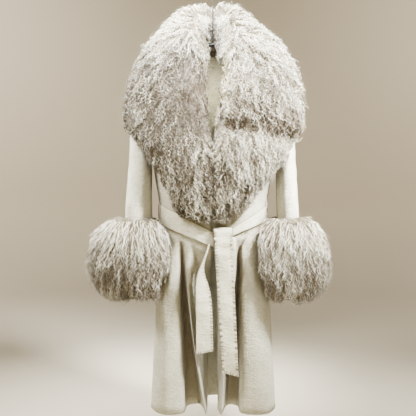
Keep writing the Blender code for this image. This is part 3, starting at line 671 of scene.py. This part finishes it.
# %% Thread and wire
carrier_thread, tree, shader = finish("carrier_thread")
values = {"Vector": place_on(tree), "Scale": 420.0, "Distortion": 1.5}
twist = put(tree, "ShaderNodeTexWave", values, bands_direction="DIAGONAL").outputs["Fac"]
feed(shader, {"Base Color": blended(tree, twist, tint(196, 188, 166), tint(232, 227, 210)),
              "Normal": relieved(tree, twist, 0.5, 0.0004), "Roughness": 0.7})

hanger_wire, tree, shader = finish("hanger_wire")
values = {"Vector": place_on(tree), "Scale": 240.0, "Detail": 4.0}
scuff = put(tree, "ShaderNodeTexNoise", values).outputs["Fac"]
feed(shader, {"Base Color": blended(tree, scuff, tint(34, 34, 36), tint(62, 61, 60)),
              "Roughness": remapped(tree, scuff, 0.0, 1.0, 0.35, 0.6), "Metallic": 1.0})

for node, skin in (("carrier_right", carrier_thread), ("carrier_left", carrier_thread),
                   ("hanger_hook", hanger_wire), ("hanger_arms", hanger_wire)):
    nodes[node].data.materials.clear()
    nodes[node].data.materials.append(skin)
print("kept solids: carriers and hanger")

# %% [markdown]
# ## The shearling
# Long lamb pile is not a smooth ball. It is thousands of thin, crimped locks that grow from the
# skin, lean one way and fall. The gaps between the locks are dark with shade. So the pile is made in
# two parts: a dark, lumpy layer of painted shade just under the solid's surface, and locks combed over
# it. Blender's own hair would be quicker to comb, but only a mesh can be taken along to other programs,
# so a lock is made of flat ribbons. Each ribbon keeps a few values in its UV maps: its tone, how far
# along it a point lies, which edge it is on and one number at random. The material reads them to darken
# the root, with its own darker colour and painted shade, to whiten the tip and to draw finer hairs across
# the ribbon, with painted shade between them.

# %% The material of the painted shade under the locks
shade_under_locks, tree, shader = finish("lamb_shade_under_locks")
place = place_on(tree)
curl = put(tree, "ShaderNodeTexNoise", {"Vector": place, "Scale": 150.0, "Detail": 3.0,
                                        "Distortion": 2.2}).outputs["Fac"]
tuft = put(tree, "ShaderNodeTexNoise", {"Vector": place, "Scale": 32.0, "Detail": 2.0}).outputs["Fac"]
both = sums(tree, "MULTIPLY_ADD", tuft, 1.5, curl)
share = remapped(tree, curl, 0.42, 0.66)
feed(shader, {"Base Color": blended(tree, share, tint(70, 62, 48), tint(128, 118, 98)),
              "Normal": relieved(tree, both, 0.9, 0.006), "Roughness": 0.9})
print("undercoat:", shade_under_locks.name)

# %% The locks' material
HAIRS_ACROSS, HAIRS_ALONG = 2.6, 5.0    # noise cells over the width and the length of a ribbon
FAR_APART = 91.0                        # sets each ribbon's hairs apart from the next one's


def kept_values(tree, name):
    """The two values that each point of a ribbon keeps in a UV map."""
    kept = put(tree, "ShaderNodeUVMap", uv_map=name).outputs[0]
    parts = put(tree, "ShaderNodeSeparateXYZ", {0: kept})
    return parts.outputs["X"], parts.outputs["Y"]


lock_skin, tree, shader = finish("lamb_locks")
tone, along = kept_values(tree, "lock")
across, luck = kept_values(tree, "width")
tip_colour = blended(tree, tone, tint(92, 75, 49), tint(255, 254, 236))
# Darker towards the root: partly the pile's own taupe roots, partly painted shade of the depth they lie in.
root_colour_and_shade = blended(tree, tone, tint(50, 40, 26), tint(180, 166, 130))
hair = blended(tree, remapped(tree, along, 0.2, 0.9), root_colour_and_shade, tip_colour)
hair_x = sums(tree, "MULTIPLY_ADD", across, HAIRS_ACROSS, sums(tree, "MULTIPLY", luck, FAR_APART))
hair_y = sums(tree, "MULTIPLY", along, HAIRS_ALONG)
hair_place = put(tree, "ShaderNodeCombineXYZ", {0: hair_x, 1: hair_y}).outputs[0]
streak = put(tree, "ShaderNodeTexNoise", {"Vector": hair_place, "Scale": 1.0, "Detail": 1.0}).outputs["Fac"]
# Painted shade between the finer hairs drawn across each ribbon.
gaps = blended(tree, remapped(tree, streak, 0.34, 0.56), tint(148, 134, 110), tint(255, 255, 255))
feed(shader, {"Base Color": blended(tree, 1.0, hair, gaps, "MULTIPLY"), "Roughness": 0.55,
              "Sheen Weight": 0.15, "Specular IOR Level": 0.35})
print("locks:", lock_skin.name)

# %% [markdown]
# ## The body of the pile
# The locks follow the surface of the solid. Before combing, shallow tufts and a few long dents are
# pressed into that surface, where the collar folds over on itself and casts a shadow. A dent must not
# reach the coat under the fur, so the room above the wool is measured first.

# %% The wool under the fur
coat_points, coat_faces = [], []
for node in panels:
    base = len(coat_points)
    coat_points += [vertex.co.copy() for vertex in nodes[node].data.vertices]
    coat_faces += [[base + k for k in face.vertices] for face in nodes[node].data.polygons]
coat = surface(coat_points, coat_faces)
print("faces of wool under the fur:", len(coat_faces))


def above_wool(points, normals):
    """How far each point that faces away from the wool lies above it, and 0 for the other points."""
    heights = np.zeros(len(points))
    for k, (point, normal) in enumerate(zip(points, normals)):
        nearest = np.array(coat.find_nearest(Vector(point))[0])
        if (point - nearest) @ normal > 0:
            heights[k] = np.linalg.norm(point - nearest)
    return heights


# %% Tufts and dents
# Each dent runs between two points in millimetres.
Dent = namedtuple("Dent", "x1 y1 z1 x2 y2 z2 width depth")
DENTS = {
    "collar_right": (
        Dent(-70, -110, -290, -150, -90, -400, 26, 9), Dent(-150, -60, -350, -262, -70, -520, 24, 20),
        Dent(-95, -150, -600, -100, -140, -760, 14, 14), Dent(-180, -110, -560, -150, -140, -650, 18, 10),
    ),
    "collar_left": (
        Dent(40, -150, -504, 230, -111, -526, 19, 26), Dent(120, -120, -300, 250, -80, -440, 26, 8),
        Dent(90, -150, -600, 84, -140, -720, 14, 13),
    ),
    "cuff_right": (),
    "cuff_left": (),
}
TUFT, SETTLE = 4.5, 2.5         # millimetres: how high the tufts stand, and how far the whole surface sinks
PARTING = 0.003                 # the collar's halves meet within this of the middle
DENT_SHARE = 0.5                # a dent takes at most this share of the room above the wool
Body = namedtuple("Body", "points normals triangles tree")


def pressed(points, normals, dents):
    """The points with tufts raised and dents pressed in; at the parting the surface stays as it is."""
    room = above_wool(points, normals)
    x, y, z = (points / MM).T
    tufts = np.sin(x / 13 + 1.9 * np.sin(z / 37) + y / 29) * np.sin(z / 21 + 1.4 * np.sin(x / 31) - y / 24)
    hold = np.clip((np.abs(points[:, 0]) - 0.004) / 0.03, 0, 1)
    points = points + normals * (hold * (TUFT * tufts - SETTLE) * MM)[:, None]
    for dent in dents:
        start, end = np.array(dent[0:3]) * MM, np.array(dent[3:6]) * MM
        span = end - start
        along = np.clip((points - start) @ span / (span @ span), 0, 1)
        gap = np.linalg.norm(points - start - along[:, None] * span, axis=1)
        sink = dent.depth * MM * np.exp(-(gap / (dent.width * MM)) ** 2)
        points = points - normals * np.minimum(sink, DENT_SHARE * room)[:, None]
    return points


def pile_body(node):
    """The solid's surface, subdivided and pressed, with its search tree."""
    work = quads_of(node)
    crease = work.edges.layers.float.new("crease_edge")
    for edge in work.edges:
        middle = (edge.verts[0].co + edge.verts[1].co) / 2
        if abs(middle.x) < PARTING and edge.calc_face_angle(0) > math.radians(40):
            edge[crease] = 1.0
    holder = placed("body_of_" + node, mesh_of("body_of_" + node, work))
    smooth = holder.modifiers.new("soft", "SUBSURF")
    smooth.levels = smooth.render_levels = 1
    fine = holder.evaluated_get(bpy.context.evaluated_depsgraph_get()).to_mesh()
    fine.calc_loop_triangles()
    points = np.array([vertex.co for vertex in fine.vertices])
    normals = np.array([vertex.normal for vertex in fine.vertices])
    triangles = np.array([triangle.vertices for triangle in fine.loop_triangles])
    bpy.data.objects.remove(holder)
    points = pressed(points, normals, DENTS[node])
    return Body(points, normals, triangles, surface(points, triangles.tolist()))


def triangle_areas(body):
    """The area of each triangle of a pile body."""
    first, second, third = body.points[body.triangles].transpose(1, 0, 2)
    return np.linalg.norm(np.cross(second - first, third - first), axis=1) / 2


bodies = {node: pile_body(node) for node in DENTS}
for node, body in bodies.items():
    print(node, "surface in square metres:", round(float(triangle_areas(body).sum()), 3))

# %% [markdown]
# ## Combing
# A lock starts under the surface and travels along it, the way the hair lies: away from the neck and
# down on the collar, away from the sleeve and down on a cuff. At each step it is brought back to a
# chosen depth, so that it bends round the form and its tip comes just free. A few locks, the wisps,
# stand out further, as they do on any long fleece. Such a path is a guide: the ribbons follow it.

# %% Which way the hair lies
NECK_X, NECK_Z = 0.025, -0.125          # each half's hair fans out from a point beside the top of the neck
COLLAR_FALL_Z, COLLAR_FALL = -0.20, 0.45    # from this height on, over so many metres, it turns downwards
CUFF_X, WRIST_Y = 0.233, -0.046         # where a sleeve's middle goes into its cuff
CUFF_FALL_Z, CUFF_FALL = -0.775, 0.16


def heading_collar(place, spin):
    """Away from the top of the neck, and straighter down the further it is below it."""
    side = 1.0 if place.x > 0 else -1.0
    away = Vector((place.x - side * NECK_X, place.y * 0.6, place.z - NECK_Z))
    away.normalize()
    fall = min(max((COLLAR_FALL_Z - place.z) / COLLAR_FALL, 0.0), 1.0)
    return away * (1 - 0.55 * fall) + Vector((0, 0, -0.12 - 0.75 * fall)) + spin


def heading_cuff(place, spin):
    """Away from the sleeve on top of the ball, then down its sides."""
    side = 1.0 if place.x > 0 else -1.0
    away = Vector((place.x - side * CUFF_X, place.y - WRIST_Y, 0))
    away.normalize()
    fall = min(max((CUFF_FALL_Z - place.z) / CUFF_FALL, 0.0), 1.0)
    return away * (1 - 0.85 * fall) + Vector((0, 0, -0.3 - 1.0 * fall)) + spin


top, bottom = Vector((0.10, -0.10, -0.15)), Vector((0.10, -0.15, -0.70))
print("the hair's fall at the top and at the bottom:",
      [round(heading_collar(place, Vector()).normalized().z, 2) for place in (top, bottom)])

# %% Where locks grow
WOOL_CONTACT = 0.008                    # pile this close over the wool lies on it
HAND_Y = -0.0454                        # middle of the opening round the hand
HAND_HALF_X, HAND_HALF_Y = 0.046, 0.066
HAND_TOP_Z = -0.81
FREE_ABOVE, FREE_BELOW = 0.98, 1.12     # the share of the opening's size that is kept free of roots


def keep_collar(place, normal):
    """No lock grows on the collar's underside, or on the faces where its halves are pressed together."""
    if abs(place.x) < PARTING and abs(normal.x) > 0.9 and place.z < -0.12:
        return False
    found = coat.find_nearest(place)
    return not (found[3] < WOOL_CONTACT and (found[0] - place).dot(normal) > 0)


def keep_cuff(place, normal):
    """No lock grows in the opening round the hand."""
    side = 1.0 if place.x > 0 else -1.0
    across = math.hypot((place.x - side * CUFF_X) / HAND_HALF_X, (place.y - HAND_Y) / HAND_HALF_Y)
    return across > (FREE_ABOVE if place.z > HAND_TOP_Z else FREE_BELOW)


TRIES = 8               # points thrown on the surface for each lock
POOL = 24               # points compared for each lock; the one furthest from the last locks is taken


def roots(body, count, keep, luck):
    """Where the locks start: points spread evenly over the part of a pile body that keep lets through."""
    areas = triangle_areas(body)
    chosen = luck.choice(len(areas), size=count * TRIES, p=areas / areas.sum())
    shares = luck.random((count * TRIES, 2))
    folded = shares.sum(axis=1) > 1
    shares[folded] = 1 - shares[folded]
    first, second, third = body.points[body.triangles[chosen]].transpose(1, 0, 2)
    starts = first + (second - first) * shares[:, :1] + (third - first) * shares[:, 1:]
    starts = starts[[keep(Vector(start), body.tree.find_nearest(Vector(start))[1]) for start in starts]]
    gaps = np.full(len(starts), np.inf)
    picked = [0]
    for _ in range(min(count, len(starts) // 2) - 1):
        gaps = np.minimum(gaps, ((starts - starts[picked[-1]]) ** 2).sum(axis=1))
        pool = luck.integers(0, len(starts), POOL)
        picked.append(int(pool[np.argmax(gaps[pool])]))
    return starts[picked]


print("tries for each lock:", TRIES)

# %% Guides
# Hang: the way a kind of fur is combed. stray turns a lock off its way, reach is its length in metres.
Hang = namedtuple("Hang", "heading keep stray reach")
HANGS = {
    "collar": Hang(heading_collar, keep_collar, 0.34, (0.038, 0.070)),
    "cuff": Hang(heading_cuff, keep_cuff, 0.20, (0.046, 0.080)),
}
STEPS = 9               # points of a guide
ROOT_DEPTH = 0.014      # how deep a lock starts
PROUD = (-2, 6)         # millimetres by which a tip stands out
WISP, WISP_SHARE = 2.7, 0.14        # how much further a wisp stands out, and the share of such locks


def comb(node, count, seed):
    """Guide lines of locks over a pile body: their points and the surface normals beside them."""
    body, hang = bodies[node], HANGS[node.split("_")[0]]
    luck = np.random.default_rng(seed)
    lines, besides = [], []
    for start in roots(body, count, hang.keep, luck):
        place = Vector(start)
        normal = body.tree.find_nearest(place)[1]
        spin = Vector(luck.normal(0, hang.stray, 3))
        length = luck.uniform(*hang.reach)
        tip = luck.uniform(*PROUD) * MM * (WISP if luck.random() < WISP_SHARE else 1.0)
        line, beside = [], []
        for share in np.linspace(0, 1, STEPS).tolist():
            depth = -ROOT_DEPTH * (1 - share) ** 1.6 + tip * share ** 1.5
            line.append(place + normal * depth)
            beside.append(normal)
            way = hang.heading(place, spin)
            way = way - normal * way.dot(normal)
            if way.length < 1e-6:
                way = Vector((0, 0, -1))
            way.normalize()
            found = body.tree.find_nearest(place + way * (length / (STEPS - 1)))
            place = found[0]
            normal = (normal * 0.5 + found[1] * 0.5).normalized()
        lines.append(line)
        besides.append(beside)
    return np.array(lines), np.array(besides)


print("kinds of fur:", list(HANGS))

# %% [markdown]
# ## Loose locks
# Two places need locks that leave the surface. Below the neck opening the collar's halves are pressed
# together, and their fur closes over the parting. Beside the hanger, short locks hang from the neck
# edge and half hide the wire. Each is a simple sweep between two points, drawn at random.

# %% Sweeps over the parting and the neck edge


def in_front(tree, x, z):
    """The point of a surface that is nearest to the camera at x and z, or None."""
    return tree.ray_cast(Vector((x, -1.0, z)), Vector((0, 1, 0)))[0]


def parting_sweep(tree, side, luck):
    """A lock that leans over the parting between the collar's halves, below the neck opening."""
    start_x, start_z = side * luck.uniform(0.010, 0.032), luck.uniform(-0.745, -0.54)
    end_x, end_z = side * luck.uniform(-0.007, 0.010), start_z - luck.uniform(0.035, 0.055)
    first = in_front(tree, start_x, start_z)
    last = in_front(tree, side * max(abs(end_x), 0.005), end_z)
    if first is None or last is None:
        return None
    start, end = np.array(first) + (0, 0.008, 0), np.array((end_x, last.y - 0.003, end_z))
    share = np.linspace(0, 1, STEPS)[:, None]
    sweep = start + (end - start) * share
    sweep[:, 1] -= 0.012 * np.sin(share[:, 0] * math.pi) ** 0.7
    return sweep


def neck_sweep(tree, side, luck):
    """A lock that hangs free from the neck edge towards the middle, over the hanger's arms."""
    start_x, start_z = side * luck.uniform(0.012, 0.060), luck.uniform(-0.235, -0.115)
    hit = in_front(tree, start_x, start_z)
    if hit is None:
        return None
    end_x = side * luck.uniform(0.004, 0.026) + start_x * 0.25
    end_y = min(hit.y, -0.012) - luck.uniform(0.0, 0.010)
    end_z = start_z - luck.uniform(0.035, 0.060)
    start, end = np.array(hit) + (0, 0.004, 0), np.array((end_x, end_y, end_z))
    share = np.linspace(0, 1, STEPS)[:, None]
    return start + (end - start) * np.hstack([share ** 1.3, share ** 0.6, share ** 1.1])


def loose_locks(node, count, one_sweep, seed):
    """Guide lines that one_sweep draws, with normals that face the camera."""
    luck = np.random.default_rng(seed)
    side = 1.0 if node.endswith("left") else -1.0
    lines = []
    while len(lines) < count:
        sweep = one_sweep(bodies[node].tree, side, luck)
        if sweep is not None:
            lines.append(sweep)
    besides = np.zeros((count, STEPS, 3))
    besides[..., 1] = -1.0
    return np.array(lines), besides


parting_front = in_front(bodies["collar_left"].tree, 0.02, -0.6)
print("the collar's front beside the parting, y in metres:", round(parting_front.y, 3))

# %% [markdown]
# ## How pale the locks are
# The collar is white on top and goes over to taupe where it turns from the light, and so do the
# cuffs. Lamps alone give less of that than real fur shows, because light gets in between thin ribbons
# from every side. So each lock has a tone of its own that paints in that light and shade, from a table
# by height, and a few places of painted shade and painted light are laid over it. Pale and dark ribbons
# also lie side by side within a lock.

# %% Tones by height and by place
# The tone is 1 for white and 0 for taupe, at heights in millimetres: painted light above, painted shade
# below.
Shade = namedtuple("Shade", "z tone")
SHADES = {
    "collar_right": (Shade(-150, 1.25), Shade(-225, 0.95), Shade(-300, 0.14), Shade(-420, -0.12),
                     Shade(-560, 0.10), Shade(-720, 0.34)),
    "collar_left": (Shade(-150, 1.15), Shade(-300, 0.70), Shade(-440, 0.42), Shade(-505, -0.06),
                    Shade(-552, 0.56), Shade(-640, 0.46), Shade(-740, 0.42)),
    "cuff_right": (Shade(-770, 1.60), Shade(-850, 0.62), Shade(-950, 0.18), Shade(-1010, 0.30)),
    "cuff_left": (Shade(-770, 1.80), Shade(-850, 0.65), Shade(-950, 0.22), Shade(-1010, 0.32)),
}
# Places of the collar, in metres, that get painted shade and painted light. The throat under the hook
# and the parting below the neck opening get little light, so their locks are painted darker; the right
# half gets painted shade in a dip beside the opening and across its roll; and painted light makes the
# pile paler at its outer edge and where it swells below the opening. A negative darkness is painted light.
Place = namedtuple("Place", "x z half_x half_z darkness")
SHADED_AND_LIT_PLACES = (
    Place(0.0, -0.190, 0.032, 0.052, 1.3), Place(0.0, -0.660, 0.009, 0.130, 0.5),
    Place(-0.070, -0.400, 0.050, 0.100, 0.40), Place(-0.150, -0.520, 0.070, 0.028, 0.35),
    Place(-0.240, -0.420, 0.038, 0.100, -0.50), Place(-0.035, -0.580, 0.050, 0.035, -0.35),
)
RIBBONS_IN_A_LOCK = 2
CLUMPS = 0.20                               # how far the tone differs between broad clumps of locks
DARK_STEP, PALE_STEP, DARK_SHARE = -0.32, 0.50, 0.68    # dark and pale ribbons, and the share of dark ones
LOCK_VARIES, RIBBON_VARIES = 0.14, 0.12


def tones_of(node, lines, contrast, luck):
    """The tone of each ribbon, with painted light and shade by the height and the place of its lock."""
    shape = (len(lines), RIBBONS_IN_A_LOCK)
    x, z = lines[:, STEPS // 2, 0], lines[:, STEPS // 2, 2]
    usual = np.interp(-z, [-row.z * MM for row in SHADES[node]], [row.tone for row in SHADES[node]])
    clump_x, clump_z = x / MM / 17 + 1.5 * np.sin(z / MM / 33), z / MM / 23 + 1.2 * np.sin(x / MM / 29)
    usual = usual + CLUMPS * np.sin(clump_x) * np.sin(clump_z)
    # Painted shade at each place, and painted light where its darkness is negative.
    for row in SHADED_AND_LIT_PLACES:
        sideways, down = (x - row.x) / row.half_x, (z - row.z) / row.half_z
        usual = usual - row.darkness * np.exp(-sideways ** 2 - down ** 4)
    step = luck.choice((DARK_STEP, PALE_STEP), shape, p=(DARK_SHARE, 1 - DARK_SHARE)) * contrast
    tones = usual[:, None] + luck.normal(0, LOCK_VARIES, (shape[0], 1)) + step
    return np.clip(tones + luck.normal(0, RIBBON_VARIES, shape), 0, 1)


print("places:", len(SHADED_AND_LIT_PLACES))

# %% [markdown]
# ## Curling
# Each guide carries two thin ribbons. They share the crimp of their lock, a small spiral with a pitch
# of 11 to 17 mm, wander a little sideways and grow finer towards the tip. All ribbons of a piece of
# fur are worked out together as arrays and make one mesh, which is much faster than thousands of
# objects. The pile on top of the collar and of a cuff is long and lies straighter.

# %% The curl of a ribbon
# Radius and pitch of the curl and breadth of a ribbon in millimetres; how far pale and dark ribbons
# differ; and the share of the curl, calm, at two heights in metres.
Form = namedtuple("Form", "crimp pitch breadth contrast calm_z calm")
FORMS = {
    "collar": Form((2.4, 4.4), (11, 16), (1.6, 3.2), 1.0, (-0.34, -0.20), (1.0, 0.6)),
    "cuff": Form((2.2, 4.0), (12, 17), (1.2, 2.5), 0.6, (-0.90, -0.81), (1.0, 0.25)),
}
SAMPLES = 16            # points along a ribbon
SPREAD, LOOSE_SPREAD = 8.0, 3.0     # how far the ribbons of a lock stand from its guide, in millimetres
WANDER, WANDER_PITCH = 4.0 * MM, 0.036      # how far a ribbon strays sideways by its tip, and how slowly


def smooth_weights(knots, samples):
    """Weights that turn the knots of a line into many samples of a smooth curve through them."""
    weights = np.zeros((samples, knots))
    for row, at in enumerate(np.linspace(0, knots - 1, samples)):
        k = min(int(at), knots - 2)
        t = at - k
        cubic = (-0.5 * t ** 3 + t ** 2 - 0.5 * t, 1.5 * t ** 3 - 2.5 * t ** 2 + 1,
                 -1.5 * t ** 3 + 2 * t ** 2 + 0.5 * t, 0.5 * t ** 3 - 0.5 * t ** 2)
        for offset, weight in zip((-1, 0, 1, 2), cubic):
            weights[row, min(max(k + offset, 0), knots - 1)] += weight
    return weights


def unit(vectors):
    """The vectors at length 1."""
    return vectors / (np.linalg.norm(vectors, axis=-1, keepdims=True) + 1e-12)


def curled(form, lines, besides, spread, luck):
    """Both edges of every ribbon, in an array: guide, ribbon, sample, edge, and x, y and z."""
    one, each = (len(lines), 1, 1), (len(lines), RIBBONS_IN_A_LOCK, 1)
    weights = smooth_weights(STEPS, SAMPLES)
    path = np.einsum("sk,gkc->gsc", weights, lines)
    out = unit(np.einsum("sk,gkc->gsc", weights, besides))
    along = unit(np.gradient(path, axis=1))
    side = unit(np.cross(out, along))
    rise = np.cross(along, side)
    length = np.linalg.norm(np.diff(path, axis=1), axis=2).sum(axis=1)[:, None, None]
    share = np.linspace(0, 1, SAMPLES)

    lock_phase = luck.uniform(0, TURN, one)
    pitch = luck.uniform(*form.pitch, one) * MM
    crimp = luck.uniform(*form.crimp, one) * MM
    phase = lock_phase + luck.normal(0, 1.6, each) + TURN * share * (length / pitch)
    calm = np.interp(lines[:, STEPS // 2, 2], form.calm_z, form.calm)[:, None, None]
    swing = calm * crimp * np.clip(share * 3, 0, 1) * (0.6 + 0.6 * share)
    angle = luck.uniform(0, TURN, each)
    radius = spread * MM * np.sqrt(luck.random(each)) * (1 - 0.15 * share)
    slow = luck.uniform(0, TURN, each) * 0.35 + luck.uniform(0, TURN, one)
    wander = calm * WANDER * share * np.sin(slow + TURN * share * length / WANDER_PITCH)
    shift_side = radius * np.cos(angle) + swing * np.sin(phase) + wander
    shift_rise = radius * np.sin(angle) * 0.7 + swing * 0.75 * np.cos(phase)

    middle = path[:, None] + side[:, None] * shift_side[..., None] + rise[:, None] * shift_rise[..., None]
    roll = luck.normal(0, 0.5, each) + 0.5 * np.sin(phase * 0.5)
    flat = side[:, None] * np.cos(roll)[..., None] + rise[:, None] * np.sin(roll)[..., None]
    half = luck.uniform(*form.breadth, each) * MM / 2 * (1 - share ** 2.5 * 0.85)
    return np.stack([middle - flat * half[..., None], middle + flat * half[..., None]], axis=3)


print("kinds of curl:", list(FORMS))

# %% The ribbons' mesh


def ribbon_mesh(name, edges):
    """A mesh of quads along the ribbons, and the point at each corner of its quads."""
    strands, samples = edges.shape[0] * edges.shape[1], edges.shape[2]
    first = np.arange(strands)[:, None] * samples * 2 + np.arange(samples - 1)[None] * 2
    corners = np.stack([first, first + 1, first + 3, first + 2], axis=2).ravel()
    data = bpy.data.meshes.new(name)
    data.vertices.add(edges.size // 3)
    data.vertices.foreach_set("co", edges.ravel())
    data.loops.add(len(corners))
    data.loops.foreach_set("vertex_index", corners)
    data.polygons.add(len(corners) // 4)
    data.polygons.foreach_set("loop_start", np.arange(0, len(corners), 4))
    data.update(calc_edges=True)
    return data, corners


def keep_in_uv(data, name, corners, shape, first, second):
    """Keeps two values of every ribbon point in a UV map, where the material finds them."""
    marks = np.empty((*shape, 2))
    marks[..., 0] = first
    marks[..., 1] = second
    data.uv_layers.new(name=name).data.foreach_set("uv", marks.reshape(-1, 2)[corners].ravel())


def ribbons(name, node, guides, spread, seed):
    """The curled ribbons of a piece of fur round its guides, joined in one mesh."""
    lines, besides = guides
    form = FORMS[node.split("_")[0]]
    luck = np.random.default_rng(seed)
    edges = curled(form, lines, besides, spread, luck)
    data, corners = ribbon_mesh(name, edges)
    shape = edges.shape[:-1]
    tones = tones_of(node, lines, form.contrast, luck)[:, :, None, None]
    keep_in_uv(data, "lock", corners, shape, tones, np.linspace(0, 1, SAMPLES)[:, None])
    keep_in_uv(data, "width", corners, shape, np.array([0.0, 1.0]), luck.random(shape[:2])[:, :, None, None])
    worn(name, data, lock_skin, [node])
    print(name, "locks:", len(lines), "faces:", len(data.polygons))


print("points of a piece of fur with 1500 locks:", 1500 * RIBBONS_IN_A_LOCK * SAMPLES * 2)

# %% [markdown]
# ## Painted shade under the locks, and the locks
# Between the locks of real fleece the eye looks down into shade. A dark layer of painted shade stands
# for that depth: the pile's body moved inwards, a little lumpy, in a dark tone. Then each piece of fur
# gets its locks. A collar half has them in two meshes, because one mesh of all of them would be too heavy.

# %% Painted shade under the locks, and the locks of each piece of fur
SINK = 9.0              # millimetres from the pile's surface down to the layer of painted shade
LUMP = 2.0              # millimetres by which it is uneven


def shade_under_locks_piece(node):
    """The dark, lumpy form of painted shade that shows between the locks."""
    points, normals, triangles, _ = bodies[node]
    x, y, z = (points / MM).T
    lumps = LUMP * np.sin(x / 7 + np.sin(z / 11)) * np.sin(z / 8 + np.sin(y / 9) * 1.3)
    hold = np.clip((np.abs(points[:, 0]) - 0.001) / 0.025, 0, 1)
    hold *= np.where(above_wool(points, normals) > 0, 1.0, 0.2)
    moved = points - normals * ((SINK + lumps) * MM * hold)[:, None]
    name = "shade_under_locks_" + node
    data = bpy.data.meshes.new(name)
    data.from_pydata(moved.tolist(), [], triangles.tolist())
    worn(name, data, shade_under_locks, [node])


Fleece = namedtuple("Fleece", "node batch guides seed")     # each seed starts its own random draws
FLEECES = (
    Fleece("collar_right", 1, 2900, 243), Fleece("collar_right", 2, 1500, 250),
    Fleece("collar_left", 1, 2900, 233), Fleece("collar_left", 2, 1500, 240),
    Fleece("cuff_right", 1, 1750, 223), Fleece("cuff_left", 1, 1750, 213),
)
for node in DENTS:
    shade_under_locks_piece(node)
for fleece in FLEECES:
    guides = comb(fleece.node, fleece.guides, fleece.seed)
    ribbons(f"locks_{fleece.node}_{fleece.batch}", fleece.node, guides, SPREAD, fleece.seed + 1)
for node, seed in (("collar_right", 12), ("collar_left", 11)):
    ribbons("neck_locks_" + node, node, loose_locks(node, 220, neck_sweep, seed), LOOSE_SPREAD, 5)
    ribbons("parting_locks_" + node, node, loose_locks(node, 60, parting_sweep, seed + 3), LOOSE_SPREAD, 6)

# %% [markdown]
# ## The cut of the cloth
# A maker starts from flat pieces. The skirts of the fronts are cut much wider at the hem than at the
# waist, and that extra width hangs in the deep folds. The table gives the smallest rectangle round each
# flat piece as it shows here, and its area where the piece fills less than most of that rectangle.

Cut = namedtuple("Cut", "piece width length area held rests_on")
CUTS = (
    Cut(panels["back"], 0.50, 1.14, 0.50, "hung", ["hanger_arms"]),
    Cut(panels["front_right"], 0.57, 1.14, 0.355, "hung", ["hanger_arms"]),
    Cut(panels["front_left"], 0.45, 1.14, 0.31, "hung", ["hanger_arms"]),
    Cut(panels["sleeve_right"], 0.345, 0.51, 0.146, "hung", ["front_right", "back"]),
    Cut(panels["sleeve_left"], 0.34, 0.51, 0.144, "hung", ["front_left", "back"]),
    Cut(binding, 0.117, 0.0105, None, "folded", ["back"]),
    Cut(belts["belt_right"], 0.225, 0.062, None, "stretched", ["front_right"]),
    Cut(belts["belt_left"], 0.165, 0.046, None, "stretched", ["front_left"]),
    Cut(belts["belt_back"], 0.456, 0.056, None, "stretched", ["back"]),
    Cut(belts["belt_knot"], 0.066, 0.044, None, "gathered", ["belt_right"]),
    Cut(belts["belt_tail_front"], 0.055, 0.457, None, "hung", ["belt_knot"]),
    Cut(belts["belt_tail_under"], 0.053, 0.335, None, "hung", ["belt_knot"]),
)
for cut in CUTS:
    half = sum(face.area for face in cut.piece.data.polygons) / 2
    print(cut.piece.name, "share of its cut:", round(half / (cut.area or cut.width * cut.length), 2))

# %% Count the triangles added
total = 0
for piece in bpy.context.scene.objects:
    if piece.type == "MESH" and "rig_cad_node" not in piece:
        total += sum(len(face.vertices) - 2 for face in piece.data.polygons)
print("triangles added:", total)
